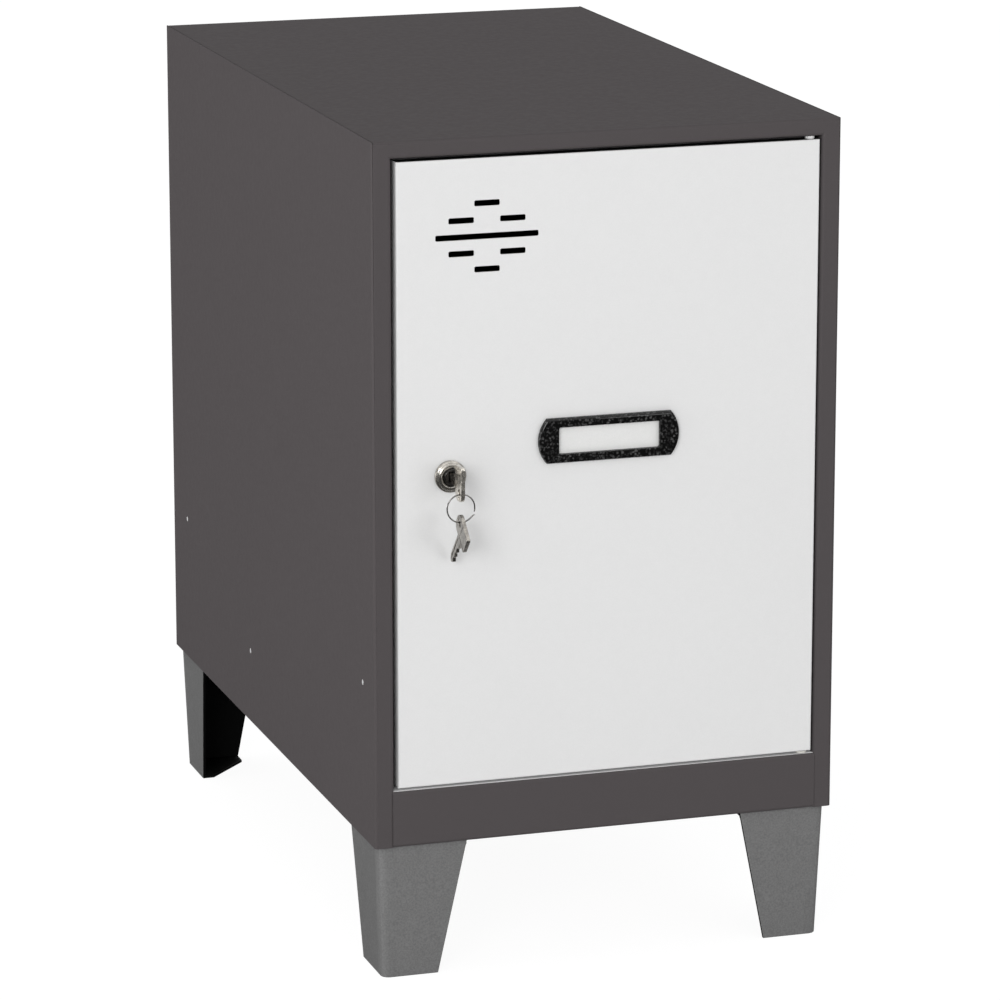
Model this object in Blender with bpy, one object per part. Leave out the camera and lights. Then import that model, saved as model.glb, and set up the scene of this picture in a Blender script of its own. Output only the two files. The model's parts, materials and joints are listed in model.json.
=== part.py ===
"""Cube locker: a small steel locker on four folded legs, with one door, a cam lock and two keys.

All sizes are in metres. X runs to the right, Y to the back and Z up. The origin lies on the
ground under the middle of the whole object. Pieces are drawn in the cabinet's own coordinates,
in which the face of the cabinet is at Y = 0 and the middle of its width at X = 0.
"""

import math

import bmesh
import bpy
import numpy as np
from mathutils import Matrix, Vector

# Cabinet shell
BODY_WIDTH = 0.300
BODY_DEPTH = 0.500
BODY_HEIGHT = 0.440
LEG_HEIGHT = 0.086
SHEET = 0.001
BEND_RADIUS = 0.001
STILE_WIDTH = 0.0123
REAR_RETURN = 0.0123
FOOT_RETURN = 0.025
TOP_RAIL = 0.0105
LINTEL_DEPTH = 0.016
TOP_FLANGE = 0.015
TOP_REAR_FLANGE = 0.012
BOTTOM_RAIL = 0.036
RAIL_RETURN = 0.030
SILL_DEPTH = 0.022
BACK_FLANGE = 0.044
FLOOR_FLANGE = 0.020
FLOOR_FRONT_FLANGE = 0.012
POST_FLANGE = 0.0165
POST_REACH = 0.022
JAMB_TO_POST = 0.0015
FLANGE_SPACING = 0.001
BEND_ROOM = 0.0008

# Gap between touching pieces, overrun of a cut and merging distance
GAP = 0.0003
OVERRUN = 0.002
MERGE = 0.000001

# Rivets in the sides
RIVET_SHANK = 0.0013
RIVET_HEAD = 0.0018
RIVET_RECESS = 0.0001
RIVET_TAIL = 0.0021
RIVET_TAIL_HEIGHT = 0.001
SIDE_RIVET_HEIGHT = 0.100
FLOOR_RIVET_HEIGHT = 0.049
FRONT_RIVET_SETBACK = 0.0265
FLOOR_RIVET_SETBACK = 0.295
REAR_RIVET_SETBACK = 0.038

# Legs and their bolts
LEG_SHEET = 0.002
LEG_BEND_RADIUS = 0.003
LEG_TOP_INSET = 0.003
LEG_FOOT_INSET = 0.006
LEG_TOP_REACH = 0.060
LEG_TOP_REACH_BACK = 0.065
LEG_FOOT_REACH = 0.042
LEG_FOOT_REACH_BACK = 0.049
LEG_PLATE_NOSE = 0.018
FOOT_PLATE_NOSE = 0.019
FOOT_PLATE_HEEL = 0.014
FRONT_FOOT_SETBACK = 0.012
BOLT_RADIUS = 0.003
BOLT_HEAD_FLATS = 0.010
BOLT_HEAD_HEIGHT = 0.004
BOLT_END = 0.0015
NUT_HEIGHT = 0.005
BOLT_FAR = 0.048
BOLT_NEAR = 0.016
BOLT_BACK = 0.050

# Door
DOOR_GAP_LEFT = 0.0029
DOOR_GAP_RIGHT = 0.0015
DOOR_GAP_TOP = 0.0020
DOOR_GAP_BOTTOM = 0.0016
DOOR_DEPTH = 0.015
DOOR_SHEET = 0.001
DOOR_LIP = 0.012
DOOR_EDGE_RADIUS = 0.0012
STIFFENER_FROM_EDGE = 0.046
STIFFENER_WIDTH = 0.024
STIFFENER_FOOT = 0.012
STIFFENER_DEPTH = 0.011

# Vent slots
SLOT_HEIGHT = 0.0036
SHORT_SLOT = 0.0161
LONG_SLOT = 0.0652
SLOT_ROW = 0.0101
SLOT_COLUMN = 0.0163
VENT_FROM_SIDE = 0.0724
VENT_FROM_TOP = 0.0603

# Hinge pins and the pieces that carry them
HINGE_FROM_EDGE = 0.0055
HINGE_FROM_FACE = 0.0040
PIN_RADIUS = 0.00175
PIN_COLLAR_RADIUS = 0.0026
PIN_COLLAR_HEIGHT = 0.0015
PIN_BEYOND_FRAME = 0.003
BRACKET_DROP = 0.012
BRACKET_REACH = 0.018
WASHER_RADIUS = 0.0034
BUFFER_RADIUS = 0.0035
BUFFER_STEM = 0.0015
BUFFER_STEM_END = 0.0018
BUFFER_SPREAD = 0.120
BUFFER_GAP = 0.0045

# Label holder
HOLDER_LENGTH = 0.0908
HOLDER_FLAT = 0.080
HOLDER_HEIGHT = 0.0281
HOLDER_THICKNESS = 0.0034
HOLDER_CHAMFER = 0.0011
HOLDER_ABOVE_MIDDLE = 0.0304
WINDOW_LENGTH = 0.0651
WINDOW_HEIGHT = 0.0166
WINDOW_RADIUS = 0.001
CARD_THICKNESS = 0.0004
CARD_MARGIN = 0.0025
PEG_RADIUS = 0.0015
PEG_SPREAD = 0.0375
PEG_LENGTH = 0.003

# Cam lock
LOCK_FROM_SIDE = 0.0485
LOCK_ABOVE_MIDDLE = 0.0129
COLLAR_RADIUS = 0.0099
COLLAR_EDGE = 0.0022
COLLAR_FACE_RADIUS = 0.0076
LOCK_PROUD = 0.0046
BARREL_RADIUS = 0.0080
BARREL_LENGTH = 0.020
BARREL_RIM = 0.0068
PLUG_RADIUS = 0.0054
PLUG_END = 0.001
TAIL_WIDTH = 0.006
TAIL_LENGTH = 0.0023
NUT_FLATS = 0.021
LOCK_NUT_HEIGHT = 0.0035
CAM_LENGTH = 0.033
CAM_WIDTH = 0.014
CAM_SHEET = 0.002
CAM_WASHER_RADIUS = 0.0055
CAM_WASHER_SHEET = 0.0008
SCREW_RADIUS = 0.0015
SCREW_HEAD_RADIUS = 0.0034
SCREW_HEAD_HEIGHT = 0.0022
SCREW_LENGTH = 0.007

# Keys and ring
KEY_THICKNESS = 0.0024
KEY_SHOULDER = 0.0145
BOW_LENGTH = 0.0218
BOW_DEPTH = 0.013
BOW_ROUND_END = 0.005
BOW_SQUARE_END = 0.0015
EYE_RADIUS = 0.0009
EYE_FROM_END = 0.0022
EYE_OFFSET = 0.0015
OVAL_HALF_WIDTH = 0.0018
OVAL_HALF_LENGTH = 0.0021
OVAL_FROM_EYE = 0.0038
BLADE_LENGTH = 0.025
BLADE_HALF_HEIGHT = 0.0032
RING_RADIUS = 0.0087
WIRE_RADIUS = 0.00045
RING_OPENING = math.radians(9)
RING_OPENING_PLACE = math.radians(-22)
SPARE_KEY_TILT = math.radians(47)

# Shares of the blade's length from its shoulder, and of its half height, along the cut edge
BLADE_CUT_SHARES = (
    (0.26, 1.0),
    (0.32, 0.55),
    (0.40, 0.55),
    (0.46, 0.90),
    (0.52, 0.35),
    (0.60, 0.35),
    (0.66, 0.80),
    (0.72, 0.45),
    (0.80, 0.45),
    (0.86, 0.85),
    (0.93, 0.60),
)
BLADE_TIP_SHARE = 0.15

# Counts of faces on bends and round pieces
BEND_STEPS = 3
ARC_STEPS = 8
ROUND_STEPS = 16
SMALL_ROUND_STEPS = 12
COLLAR_STEPS = 30
WIRE_SIDES = 8
RING_STEPS = 30
SMOOTH_ANGLE = math.radians(35)

# Levels and planes worked out from the sizes above
HALF_WIDTH = BODY_WIDTH / 2
BODY_BOTTOM = LEG_HEIGHT
BODY_TOP = LEG_HEIGHT + BODY_HEIGHT
CEILING = BODY_TOP - SHEET
SILL_TOP = BODY_BOTTOM + BOTTOM_RAIL
LINTEL_BOTTOM = BODY_TOP - TOP_RAIL
OPENING_HALF = HALF_WIDTH - STILE_WIDTH
LINER_X = HALF_WIDTH - SHEET - GAP - SHEET / 2
LINER_FACE = LINER_X - SHEET / 2
RIVET_CONE = SHEET + GAP / 2
POST_Y = DOOR_DEPTH + BUFFER_GAP
JAMB_DEPTH = POST_Y - JAMB_TO_POST
POST_BACK = POST_Y + POST_FLANGE
LINER_FRONT = POST_BACK + FLANGE_SPACING
BACK_PLATE = BODY_DEPTH - SHEET - GAP - SHEET / 2
BACK_FACE = BACK_PLATE - SHEET / 2
LINER_BACK = BODY_DEPTH - BACK_FLANGE - FLANGE_SPACING
FLOOR_FRONT = SILL_DEPTH + GAP
LEG_PLATE_TOP = BODY_BOTTOM - GAP

DOOR_LEFT = -OPENING_HALF + DOOR_GAP_LEFT
DOOR_RIGHT = OPENING_HALF - DOOR_GAP_RIGHT
DOOR_BOTTOM = SILL_TOP + DOOR_GAP_BOTTOM
DOOR_TOP = LINTEL_BOTTOM - DOOR_GAP_TOP
HINGE_X = DOOR_RIGHT - HINGE_FROM_EDGE
BODY_MIDDLE = BODY_BOTTOM + BODY_HEIGHT / 2
HOLDER_Z = BODY_MIDDLE + HOLDER_ABOVE_MIDDLE
LOCK_X = -HALF_WIDTH + LOCK_FROM_SIDE
LOCK_Z = BODY_MIDDLE + LOCK_ABOVE_MIDDLE
TAIL_START = BARREL_LENGTH + PLUG_END
CAM_FRONT = TAIL_START + GAP
CAM_BACK = CAM_FRONT + CAM_SHEET

# Place of a key's eye, and of the wire that hangs in the oval hole beside it
BOW_MIDDLE = BOW_LENGTH / 2 - EYE_FROM_END
EYE_Y = -(KEY_SHOULDER + BOW_DEPTH / 2 + EYE_OFFSET)
EYE_Z = LOCK_Z - BOW_MIDDLE
WIRE_FROM_EYE = OVAL_FROM_EYE - OVAL_HALF_LENGTH + WIRE_RADIUS + GAP
RING_TOP_Z = EYE_Z + WIRE_FROM_EYE
RING_BOTTOM_Z = RING_TOP_Z - 2 * RING_RADIUS
SPARE_TURN = math.pi - SPARE_KEY_TILT

SIDES = {"left": -1, "right": 1}


def srgb(red, green, blue):
    """A screen colour of 0 to 255 as the linear colour that a material holds."""
    return tuple((part / 255) ** 2.2 for part in (red, green, blue)) + (1.0,)


def make_material(name, colour, roughness, metallic=0.0):
    material = bpy.data.materials.new(name)
    material.use_nodes = True
    shader = material.node_tree.nodes["Principled BSDF"]
    shader.inputs["Base Color"].default_value = colour
    shader.inputs["Roughness"].default_value = roughness
    shader.inputs["Metallic"].default_value = metallic
    material.diffuse_color = colour
    return material


def make_materials():
    return {
        "cabinet": make_material("cabinet_dark_grey", srgb(84, 80, 81), 0.45),
        "door": make_material("door_light_grey", srgb(226, 226, 226), 0.40),
        "leg": make_material("leg_grey", srgb(112, 112, 112), 0.50),
        "plastic": make_material("black_plastic", srgb(22, 22, 22), 0.35),
        "card": make_material("card", srgb(228, 228, 226), 0.80),
        "nickel": make_material("nickel", srgb(176, 170, 160), 0.25, 1.0),
        "zinc": make_material("zinc", srgb(190, 190, 192), 0.35, 1.0),
        "rubber": make_material("rubber", srgb(28, 28, 28), 0.85),
        "nylon": make_material("nylon", srgb(225, 224, 218), 0.50),
    }


# Frames that carry the pieces of one body, each on its joint's axis

FRAME_PLACES = {}


def make_frame(name, point, parent=None):
    """An empty at a point given in the cabinet's coordinates."""
    frame = bpy.data.objects.new(name, None)
    bpy.context.scene.collection.objects.link(frame)
    FRAME_PLACES[name] = Vector(point)
    if parent is None:
        frame.location = (0, cabinet_shift(), 0)
    else:
        frame.parent = parent
        frame.location = FRAME_PLACES[name] - FRAME_PLACES[parent.name]
    return frame


# Outlines, as lists of plane points

def unit(vector):
    return vector / np.linalg.norm(vector)


def corner_arc(before, corner, after, radius, steps):
    """The points of the arc that takes a corner's place."""
    into = unit(before - corner)
    out = unit(after - corner)
    half = math.acos(into @ out) / 2
    sweep = math.pi - 2 * half
    centre = corner + unit(into + out) * radius / math.sin(half)
    first = corner + into * radius / math.tan(half) - centre
    last = corner + out * radius / math.tan(half) - centre
    arc = []
    for step in range(steps + 1):
        turn = sweep * step / steps
        share = math.sin(turn) / math.sin(sweep)
        rest = math.sin(sweep - turn) / math.sin(sweep)
        arc.append(centre + rest * first + share * last)
    return arc


def rounded(points, radius, steps=BEND_STEPS):
    """An open line with each corner replaced by an arc."""
    points = [np.array(point) for point in points]
    line = [points[0]]
    for before, corner, after in zip(points, points[1:], points[2:]):
        line += corner_arc(before, corner, after, radius, steps)
    line.append(points[-1])
    return line


def rounded_ring(corners, steps=ARC_STEPS):
    """A closed outline of (point, radius) corners, each replaced by an arc."""
    points = [np.array(point) for point, _ in corners]
    ring = []
    for index, (_, radius) in enumerate(corners):
        after = points[(index + 1) % len(points)]
        if radius:
            ring += corner_arc(points[index - 1], points[index], after, radius, steps)
        else:
            ring.append(points[index])
    return ring


def rounded_rectangle(left, right, low, high, radius):
    corners_in_turn = ((left, low), (right, low), (right, high), (left, high))
    return rounded_ring([(corner, radius) for corner in corners_in_turn], BEND_STEPS)


def strip(line, thickness):
    """The closed outline of a strip of even thickness along a line."""
    left, right = [], []
    for index, point in enumerate(line):
        next_start = min(index, len(line) - 2)
        last_start = max(index - 1, 0)
        ahead = unit(line[next_start + 1] - line[next_start])
        behind = unit(line[last_start + 1] - line[last_start])
        along = unit(ahead + behind)
        across = np.array((-along[1], along[0])) * thickness / 2 / (along @ ahead)
        left.append(point + across)
        right.append(point - across)
    return left + right[::-1]


def shrunk(ring, distance):
    """A closed outline moved inwards, for outlines that run anticlockwise."""
    moved = []
    for index, point in enumerate(ring):
        behind = unit(point - ring[index - 1])
        ahead = unit(ring[(index + 1) % len(ring)] - point)
        along = unit(ahead + behind)
        moved.append(point + np.array((-along[1], along[0])) * distance / (along @ ahead))
    return moved


def circle(centre, radius, steps):
    turns = [2 * math.pi * step / steps for step in range(steps)]
    return [np.array(centre) + radius * np.array((math.cos(turn), math.sin(turn))) for turn in turns]


def hexagon(centre, flats, per_side):
    """A hexagon, with each side parted into so many stretches."""
    corners = circle(centre, flats / math.sqrt(3), 6)
    ring = []
    for corner, after in zip(corners, corners[1:] + corners[:1]):
        ring += [corner + (after - corner) * step / per_side for step in range(per_side)]
    return ring


# Solids

def in_space(axis, first, second, along):
    """A point from two coordinates of an outline and one along the axis it is swept on."""
    if axis == "X":
        return (along, first, second)
    if axis == "Y":
        return (first, along, second)
    return (first, second, along)


def lofted(bm, loops, ring=False):
    """A solid through closed loops of as many points each, capped at its ends or joined into a ring."""
    rows = [[bm.verts.new(point) for point in points] for points in loops]
    pairs = list(zip(rows, rows[1:]))
    if ring:
        pairs.append((rows[-1], rows[0]))
    else:
        bm.faces.new(rows[0])
        bm.faces.new(rows[-1])
    for lower, upper in pairs:
        for index in range(len(lower)):
            bm.faces.new((lower[index - 1], lower[index], upper[index], upper[index - 1]))


def prism(bm, outline, axis, start, end):
    lofted(bm, [[in_space(axis, *point, level) for point in outline] for level in (start, end)])


def fold(bm, path, axis, start, end, thickness=SHEET, radius=BEND_RADIUS):
    """A folded sheet: the middle line of its section, swept along an axis."""
    line = rounded(path, radius + thickness / 2)
    prism(bm, strip(line, thickness), axis, start, end)


def box(bm, low, high):
    (left, front, bottom), (right, back, top) = low, high
    prism(bm, ((left, front), (right, front), (right, back), (left, back)), "Z", bottom, top)


def turned(bm, profile, centre, axis, steps):
    """A turned piece from (radius, height) points; a profile clear of its axis makes a ring."""
    centre, axis = Vector(centre), Vector(axis)
    side = Vector((0, 0, 1)) if abs(axis.z) < abs(axis.x) + abs(axis.y) else Vector((1, 0, 0))
    verts = [bm.verts.new(centre + side * radius + axis * height) for radius, height in profile]
    pairs = list(zip(verts, verts[1:]))
    if min(radius for radius, _ in profile) > 0:
        pairs.append((verts[-1], verts[0]))
    edges = [bm.edges.new(pair) for pair in pairs]
    bmesh.ops.spin(
        bm, geom=verts + edges, cent=centre, axis=axis, angle=2 * math.pi, steps=steps, use_merge=True
    )


def cylinder(bm, centre, axis, radius, start, end, steps=ROUND_STEPS):
    turned(bm, ((0, start), (radius, start), (radius, end), (0, end)), centre, axis, steps)


# Objects

def make_mesh(name, bm, origin):
    bmesh.ops.remove_doubles(bm, verts=bm.verts, dist=MERGE)
    bmesh.ops.recalc_face_normals(bm, faces=bm.faces)
    bmesh.ops.translate(bm, verts=bm.verts, vec=-Vector(origin))
    mesh = bpy.data.meshes.new(name)
    bm.to_mesh(mesh)
    bm.free()
    return mesh


def surface(mesh, material):
    mesh.materials.append(material)
    mesh.shade_smooth()
    mesh.set_sharp_from_angle(angle=SMOOTH_ANGLE)
    return mesh


def place(name, mesh, frame, point):
    """An object that hangs on a frame, with its origin at a point in the cabinet's coordinates."""
    item = bpy.data.objects.new(name, mesh)
    bpy.context.scene.collection.objects.link(item)
    item.parent = frame
    item.location = Vector(point) - FRAME_PLACES[frame.name]
    return item


def make_piece(name, bm, material, frame):
    """A piece drawn in the cabinet's coordinates, with its origin on its frame."""
    point = FRAME_PLACES[frame.name]
    return place(name, surface(make_mesh(name, bm, point), material), frame, point)


def change(piece, helper, operation, label):
    """Join a hidden helper to a piece, or cut it out of the piece."""
    helper.display_type = "WIRE"
    helper.hide_render = True
    modifier = piece.modifiers.new(label, "BOOLEAN")
    modifier.operation = operation
    modifier.object = helper


def make_helper(piece, bm, label):
    name = piece.name + "_" + label
    point = FRAME_PLACES[piece.parent.name]
    return place(name, make_mesh(name, bm, point), piece.parent, point)


def cut(piece, bm, label):
    change(piece, make_helper(piece, bm, label), "DIFFERENCE", label)


def join(piece, bm, label):
    change(piece, make_helper(piece, bm, label), "UNION", label)


# Places that several pieces share

def rivet_places():
    """What each rivet in a side holds, its setback and its height."""
    return (
        ("post", FRONT_RIVET_SETBACK, BODY_BOTTOM + SIDE_RIVET_HEIGHT),
        ("floor", FLOOR_RIVET_SETBACK, BODY_BOTTOM + FLOOR_RIVET_HEIGHT),
        ("back", BODY_DEPTH - REAR_RIVET_SETBACK, BODY_BOTTOM + SIDE_RIVET_HEIGHT),
    )


def rivet_holes(side):
    """Cutter for one side's rivets, opened out to a cone where it passes the skin."""
    inner = LINER_FACE - OVERRUN - HALF_WIDTH
    shank, head = RIVET_SHANK + GAP, RIVET_HEAD + GAP
    flare = (RIVET_HEAD - RIVET_SHANK) * OVERRUN / RIVET_CONE
    profile = ((0, OVERRUN), (head + flare, OVERRUN), (shank, -RIVET_CONE), (shank, inner), (0, inner))
    bm = bmesh.new()
    for _, setback, height in rivet_places():
        turned(bm, profile, (side * HALF_WIDTH, setback, height), (side, 0, 0), SMALL_ROUND_STEPS)
    return bm


def corners():
    """Each corner of the cabinet, as its end and its side by name and by sign."""
    for end in ("front", "rear"):
        for side_name, side in SIDES.items():
            yield end, side_name, side


def from_corner(end, side, inwards, backwards):
    """The point at distances in from the side and in from the front or rear."""
    setback = backwards if end == "front" else BODY_DEPTH - backwards
    return side * (HALF_WIDTH - inwards), setback


def bolt_places():
    """Name and place of each bolt: one on each arm of each leg's top plate."""
    places = []
    for end, side_name, side in corners():
        leg = end + "_" + side_name
        places.append((leg + "_inward", *from_corner(end, side, BOLT_FAR, BOLT_NEAR)))
        places.append((leg + "_along", *from_corner(end, side, BOLT_NEAR, BOLT_BACK)))
    return places


def bolt_holes():
    bm = bmesh.new()
    start = LEG_PLATE_TOP - LEG_SHEET - OVERRUN
    end = BODY_BOTTOM + SHEET + OVERRUN
    for _, across, setback in bolt_places():
        radius = BOLT_RADIUS + GAP
        cylinder(bm, (across, setback, 0), (0, 0, 1), radius, start, end, SMALL_ROUND_STEPS)
    return bm


def hinge_hole(start, end):
    bm = bmesh.new()
    radius = PIN_RADIUS + GAP
    cylinder(bm, (HINGE_X, HINGE_FROM_FACE, 0), (0, 0, 1), radius, start, end, SMALL_ROUND_STEPS)
    return bm


def buffer_places():
    middle = (DOOR_TOP + DOOR_BOTTOM) / 2
    across = (DOOR_LEFT - HALF_WIDTH + POST_REACH) / 2
    return (("lower", across, middle - BUFFER_SPREAD), ("upper", across, middle + BUFFER_SPREAD))


# Cabinet

def make_side_panel(name, side, materials, frame):
    """Side skin with its stile, jamb, rear return and foot return in one folded sheet."""
    half = SHEET / 2
    skin = side * (HALF_WIDTH - half)
    jamb = side * (OPENING_HALF + half)
    path = (
        (jamb, JAMB_DEPTH),
        (jamb, half),
        (skin, half),
        (skin, BODY_DEPTH - half),
        (side * (HALF_WIDTH - REAR_RETURN), BODY_DEPTH - half),
    )
    bm = bmesh.new()
    fold(bm, path, "Z", BODY_BOTTOM, BODY_TOP)
    piece = make_piece(name, bm, materials["cabinet"], frame)

    bm = bmesh.new()
    inner, outer = HALF_WIDTH - FOOT_RETURN, HALF_WIDTH - SHEET / 2
    low_x, high_x = sorted((side * inner, side * outer))
    box(bm, (low_x, RAIL_RETURN + OVERRUN, BODY_BOTTOM), (high_x, BACK_FACE - GAP, BODY_BOTTOM + SHEET))
    join(piece, bm, "foot_return")

    bm = bmesh.new()
    low_x, high_x = sorted((side * (OPENING_HALF - OVERRUN), side * (HALF_WIDTH - SHEET)))
    box(bm, (low_x, -OVERRUN, CEILING - GAP), (high_x, BODY_DEPTH + OVERRUN, BODY_TOP + OVERRUN))
    cut(piece, bm, "top_plate_room")
    cut(piece, rivet_holes(side), "rivet_holes")
    cut(piece, bolt_holes(), "bolt_holes")


def make_back_panel(materials, frame):
    path = (
        (-LINER_X, BODY_DEPTH - BACK_FLANGE),
        (-LINER_X, BACK_PLATE),
        (LINER_X, BACK_PLATE),
        (LINER_X, BODY_DEPTH - BACK_FLANGE),
    )
    bm = bmesh.new()
    fold(bm, path, "Z", BODY_BOTTOM, CEILING - BEND_ROOM)
    piece = make_piece("back_panel", bm, materials["cabinet"], frame)

    clear = HALF_WIDTH - FOOT_RETURN - GAP
    bm = bmesh.new()
    for side in SIDES.values():
        low_x, high_x = sorted((side * clear, side * (HALF_WIDTH + OVERRUN)))
        low_y, high_y = BODY_DEPTH - BACK_FLANGE - OVERRUN, BODY_DEPTH + OVERRUN
        box(bm, (low_x, low_y, BODY_BOTTOM - OVERRUN), (high_x, high_y, BODY_BOTTOM + SHEET + GAP))
    cut(piece, bm, "foot_return_room")

    bm = bmesh.new()
    low_y = BACK_PLATE - FOOT_RETURN
    box(bm, (-clear, low_y, BODY_BOTTOM), (clear, BACK_PLATE, BODY_BOTTOM + SHEET))
    join(piece, bm, "foot_return")
    for name, side in SIDES.items():
        cut(piece, rivet_holes(side), name + "_rivet_holes")
    cut(piece, bolt_holes(), "bolt_holes")


def make_top_panel(materials, frame):
    """Top plate with the front rail, its lintel and the rear flange in one folded sheet."""
    half = SHEET / 2
    path = (
        (LINTEL_DEPTH, LINTEL_BOTTOM + half),
        (half, LINTEL_BOTTOM + half),
        (half, BODY_TOP - half),
        (BODY_DEPTH - half, BODY_TOP - half),
        (BODY_DEPTH - half, BODY_TOP - TOP_REAR_FLANGE),
    )
    inner = HALF_WIDTH - SHEET - GAP
    bm = bmesh.new()
    fold(bm, path, "X", -inner, inner)
    piece = make_piece("top_panel", bm, materials["cabinet"], frame)

    bm = bmesh.new()
    low_z = BODY_TOP - TOP_REAR_FLANGE - OVERRUN
    for side in SIDES.values():
        low_x, high_x = sorted((side * (OPENING_HALF - GAP), side * (HALF_WIDTH + OVERRUN)))
        box(bm, (low_x, -OVERRUN, low_z), (high_x, BODY_DEPTH + OVERRUN, CEILING))
    cut(piece, bm, "corner_notches")

    bm = bmesh.new()
    for side in SIDES.values():
        low_x, high_x = sorted((side * LINER_FACE, side * inner))
        box(bm, (low_x, LINER_FRONT, BODY_TOP - TOP_FLANGE), (high_x, LINER_BACK, BODY_TOP - half))
    join(piece, bm, "side_flanges")
    cut(piece, hinge_hole(LINTEL_BOTTOM - OVERRUN, LINTEL_BOTTOM + PIN_BEYOND_FRAME), "pin_hole")


def make_bottom_rail(materials, frame):
    half = SHEET / 2
    path = (
        (RAIL_RETURN, BODY_BOTTOM + half),
        (half, BODY_BOTTOM + half),
        (half, SILL_TOP - half),
        (SILL_DEPTH, SILL_TOP - half),
    )
    inner = OPENING_HALF - GAP
    bm = bmesh.new()
    fold(bm, path, "X", -inner, inner)
    piece = make_piece("bottom_rail", bm, materials["cabinet"], frame)
    cut(piece, bolt_holes(), "bolt_holes")
    cut(piece, hinge_hole(SILL_TOP - PIN_BEYOND_FRAME, SILL_TOP + OVERRUN), "pin_hole")


def make_floor_panel(materials, frame):
    """Floor plate with turned-up sides and a turned-down front."""
    level = SILL_TOP - SHEET / 2
    path = (
        (-LINER_X, SILL_TOP + FLOOR_FLANGE),
        (-LINER_X, level),
        (LINER_X, level),
        (LINER_X, SILL_TOP + FLOOR_FLANGE),
    )
    bm = bmesh.new()
    fold(bm, path, "Y", FLOOR_FRONT, BACK_FACE - GAP)
    piece = make_piece("floor_panel", bm, materials["cabinet"], frame)

    bm = bmesh.new()
    inner = OPENING_HALF - GAP
    low_z = SILL_TOP - FLOOR_FRONT_FLANGE
    box(bm, (-inner, FLOOR_FRONT, low_z), (inner, FLOOR_FRONT + SHEET, level))
    join(piece, bm, "front_flange")

    bm = bmesh.new()
    over = SILL_TOP + FLOOR_FLANGE + OVERRUN
    for side in SIDES.values():
        low_x, high_x = sorted((side * (OPENING_HALF + SHEET), side * (HALF_WIDTH + OVERRUN)))
        box(bm, (low_x, 0, SILL_TOP), (high_x, POST_BACK + GAP, over))
    cut(piece, bm, "post_room")

    bm = bmesh.new()
    low_y = BODY_DEPTH - BACK_FLANGE - GAP
    for side in SIDES.values():
        low_x, high_x = sorted((side * (LINER_FACE - BEND_ROOM), side * (HALF_WIDTH + OVERRUN)))
        box(bm, (low_x, low_y, BODY_BOTTOM), (high_x, BODY_DEPTH, over))
    cut(piece, bm, "back_flange_room")
    for name, side in SIDES.items():
        cut(piece, rivet_holes(side), name + "_rivet_holes")


def make_post(name, side, materials, frame):
    """Folded post behind a stile: one flange on the side skin, one behind the door's edge."""
    web = POST_Y + SHEET / 2
    path = ((side * LINER_X, POST_BACK), (side * LINER_X, web), (side * (HALF_WIDTH - POST_REACH), web))
    bm = bmesh.new()
    fold(bm, path, "Z", SILL_TOP + GAP, CEILING - GAP)
    piece = make_piece(name, bm, materials["cabinet"], frame)
    cut(piece, rivet_holes(side), "rivet_holes")
    return piece


def make_strike_post(materials, frame):
    piece = make_post("strike_post", SIDES["left"], materials, frame)
    bm = bmesh.new()
    for _, across, height in buffer_places():
        radius = BUFFER_STEM + GAP
        start, end = POST_Y - OVERRUN, POST_Y + SHEET + OVERRUN
        cylinder(bm, (across, 0, height), (0, 1, 0), radius, start, end, SMALL_ROUND_STEPS)
    cut(piece, bm, "buffer_holes")


def make_rivets(materials, frame):
    """Rivets sunk flush in each side skin, through the flange behind it."""
    inner = LINER_FACE - GAP - HALF_WIDTH
    profile = (
        (0, -RIVET_RECESS),
        (RIVET_HEAD, -RIVET_RECESS),
        (RIVET_SHANK, -RIVET_CONE),
        (RIVET_SHANK, inner),
        (RIVET_TAIL, inner),
        (RIVET_TAIL, inner - RIVET_TAIL_HEIGHT),
        (0, inner - RIVET_TAIL_HEIGHT),
    )
    bm = bmesh.new()
    turned(bm, profile, (0, 0, 0), (1, 0, 0), SMALL_ROUND_STEPS)
    mesh = surface(make_mesh("rivet", bm, (0, 0, 0)), materials["zinc"])
    for side_name, side in SIDES.items():
        for what, setback, height in rivet_places():
            point = (side * HALF_WIDTH, setback, height)
            rivet = place(side_name + "_" + what + "_rivet", mesh, frame, point)
            rivet.rotation_euler.z = 0 if side > 0 else math.pi


def leg_loop(end, side, inset, reach, reach_back, level):
    """The outline of a leg's folded section at one level."""
    middle = inset + LEG_SHEET / 2
    path = ((reach, middle), (middle, middle), (middle, reach_back))
    line = rounded(path, LEG_BEND_RADIUS + LEG_SHEET / 2)
    outline = strip(line, LEG_SHEET)
    return [(*from_corner(end, side, inwards, backwards), level) for inwards, backwards in outline]


def leg_plate(bm, end, side, inset, reach, reach_back, noses, levels):
    """A plate across the inside of a leg, cut off slantwise between its two noses."""
    nose, nose_back = noses
    wall = inset + LEG_SHEET / 2
    bend = inset + LEG_SHEET + LEG_BEND_RADIUS
    outline = (
        (bend, wall),
        (reach, wall),
        (reach, inset + nose),
        (inset + nose_back, reach_back),
        (wall, reach_back),
        (wall, bend),
    )
    placed = [from_corner(end, side, inwards, backwards) for inwards, backwards in outline]
    prism(bm, placed, "Z", *levels)


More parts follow.
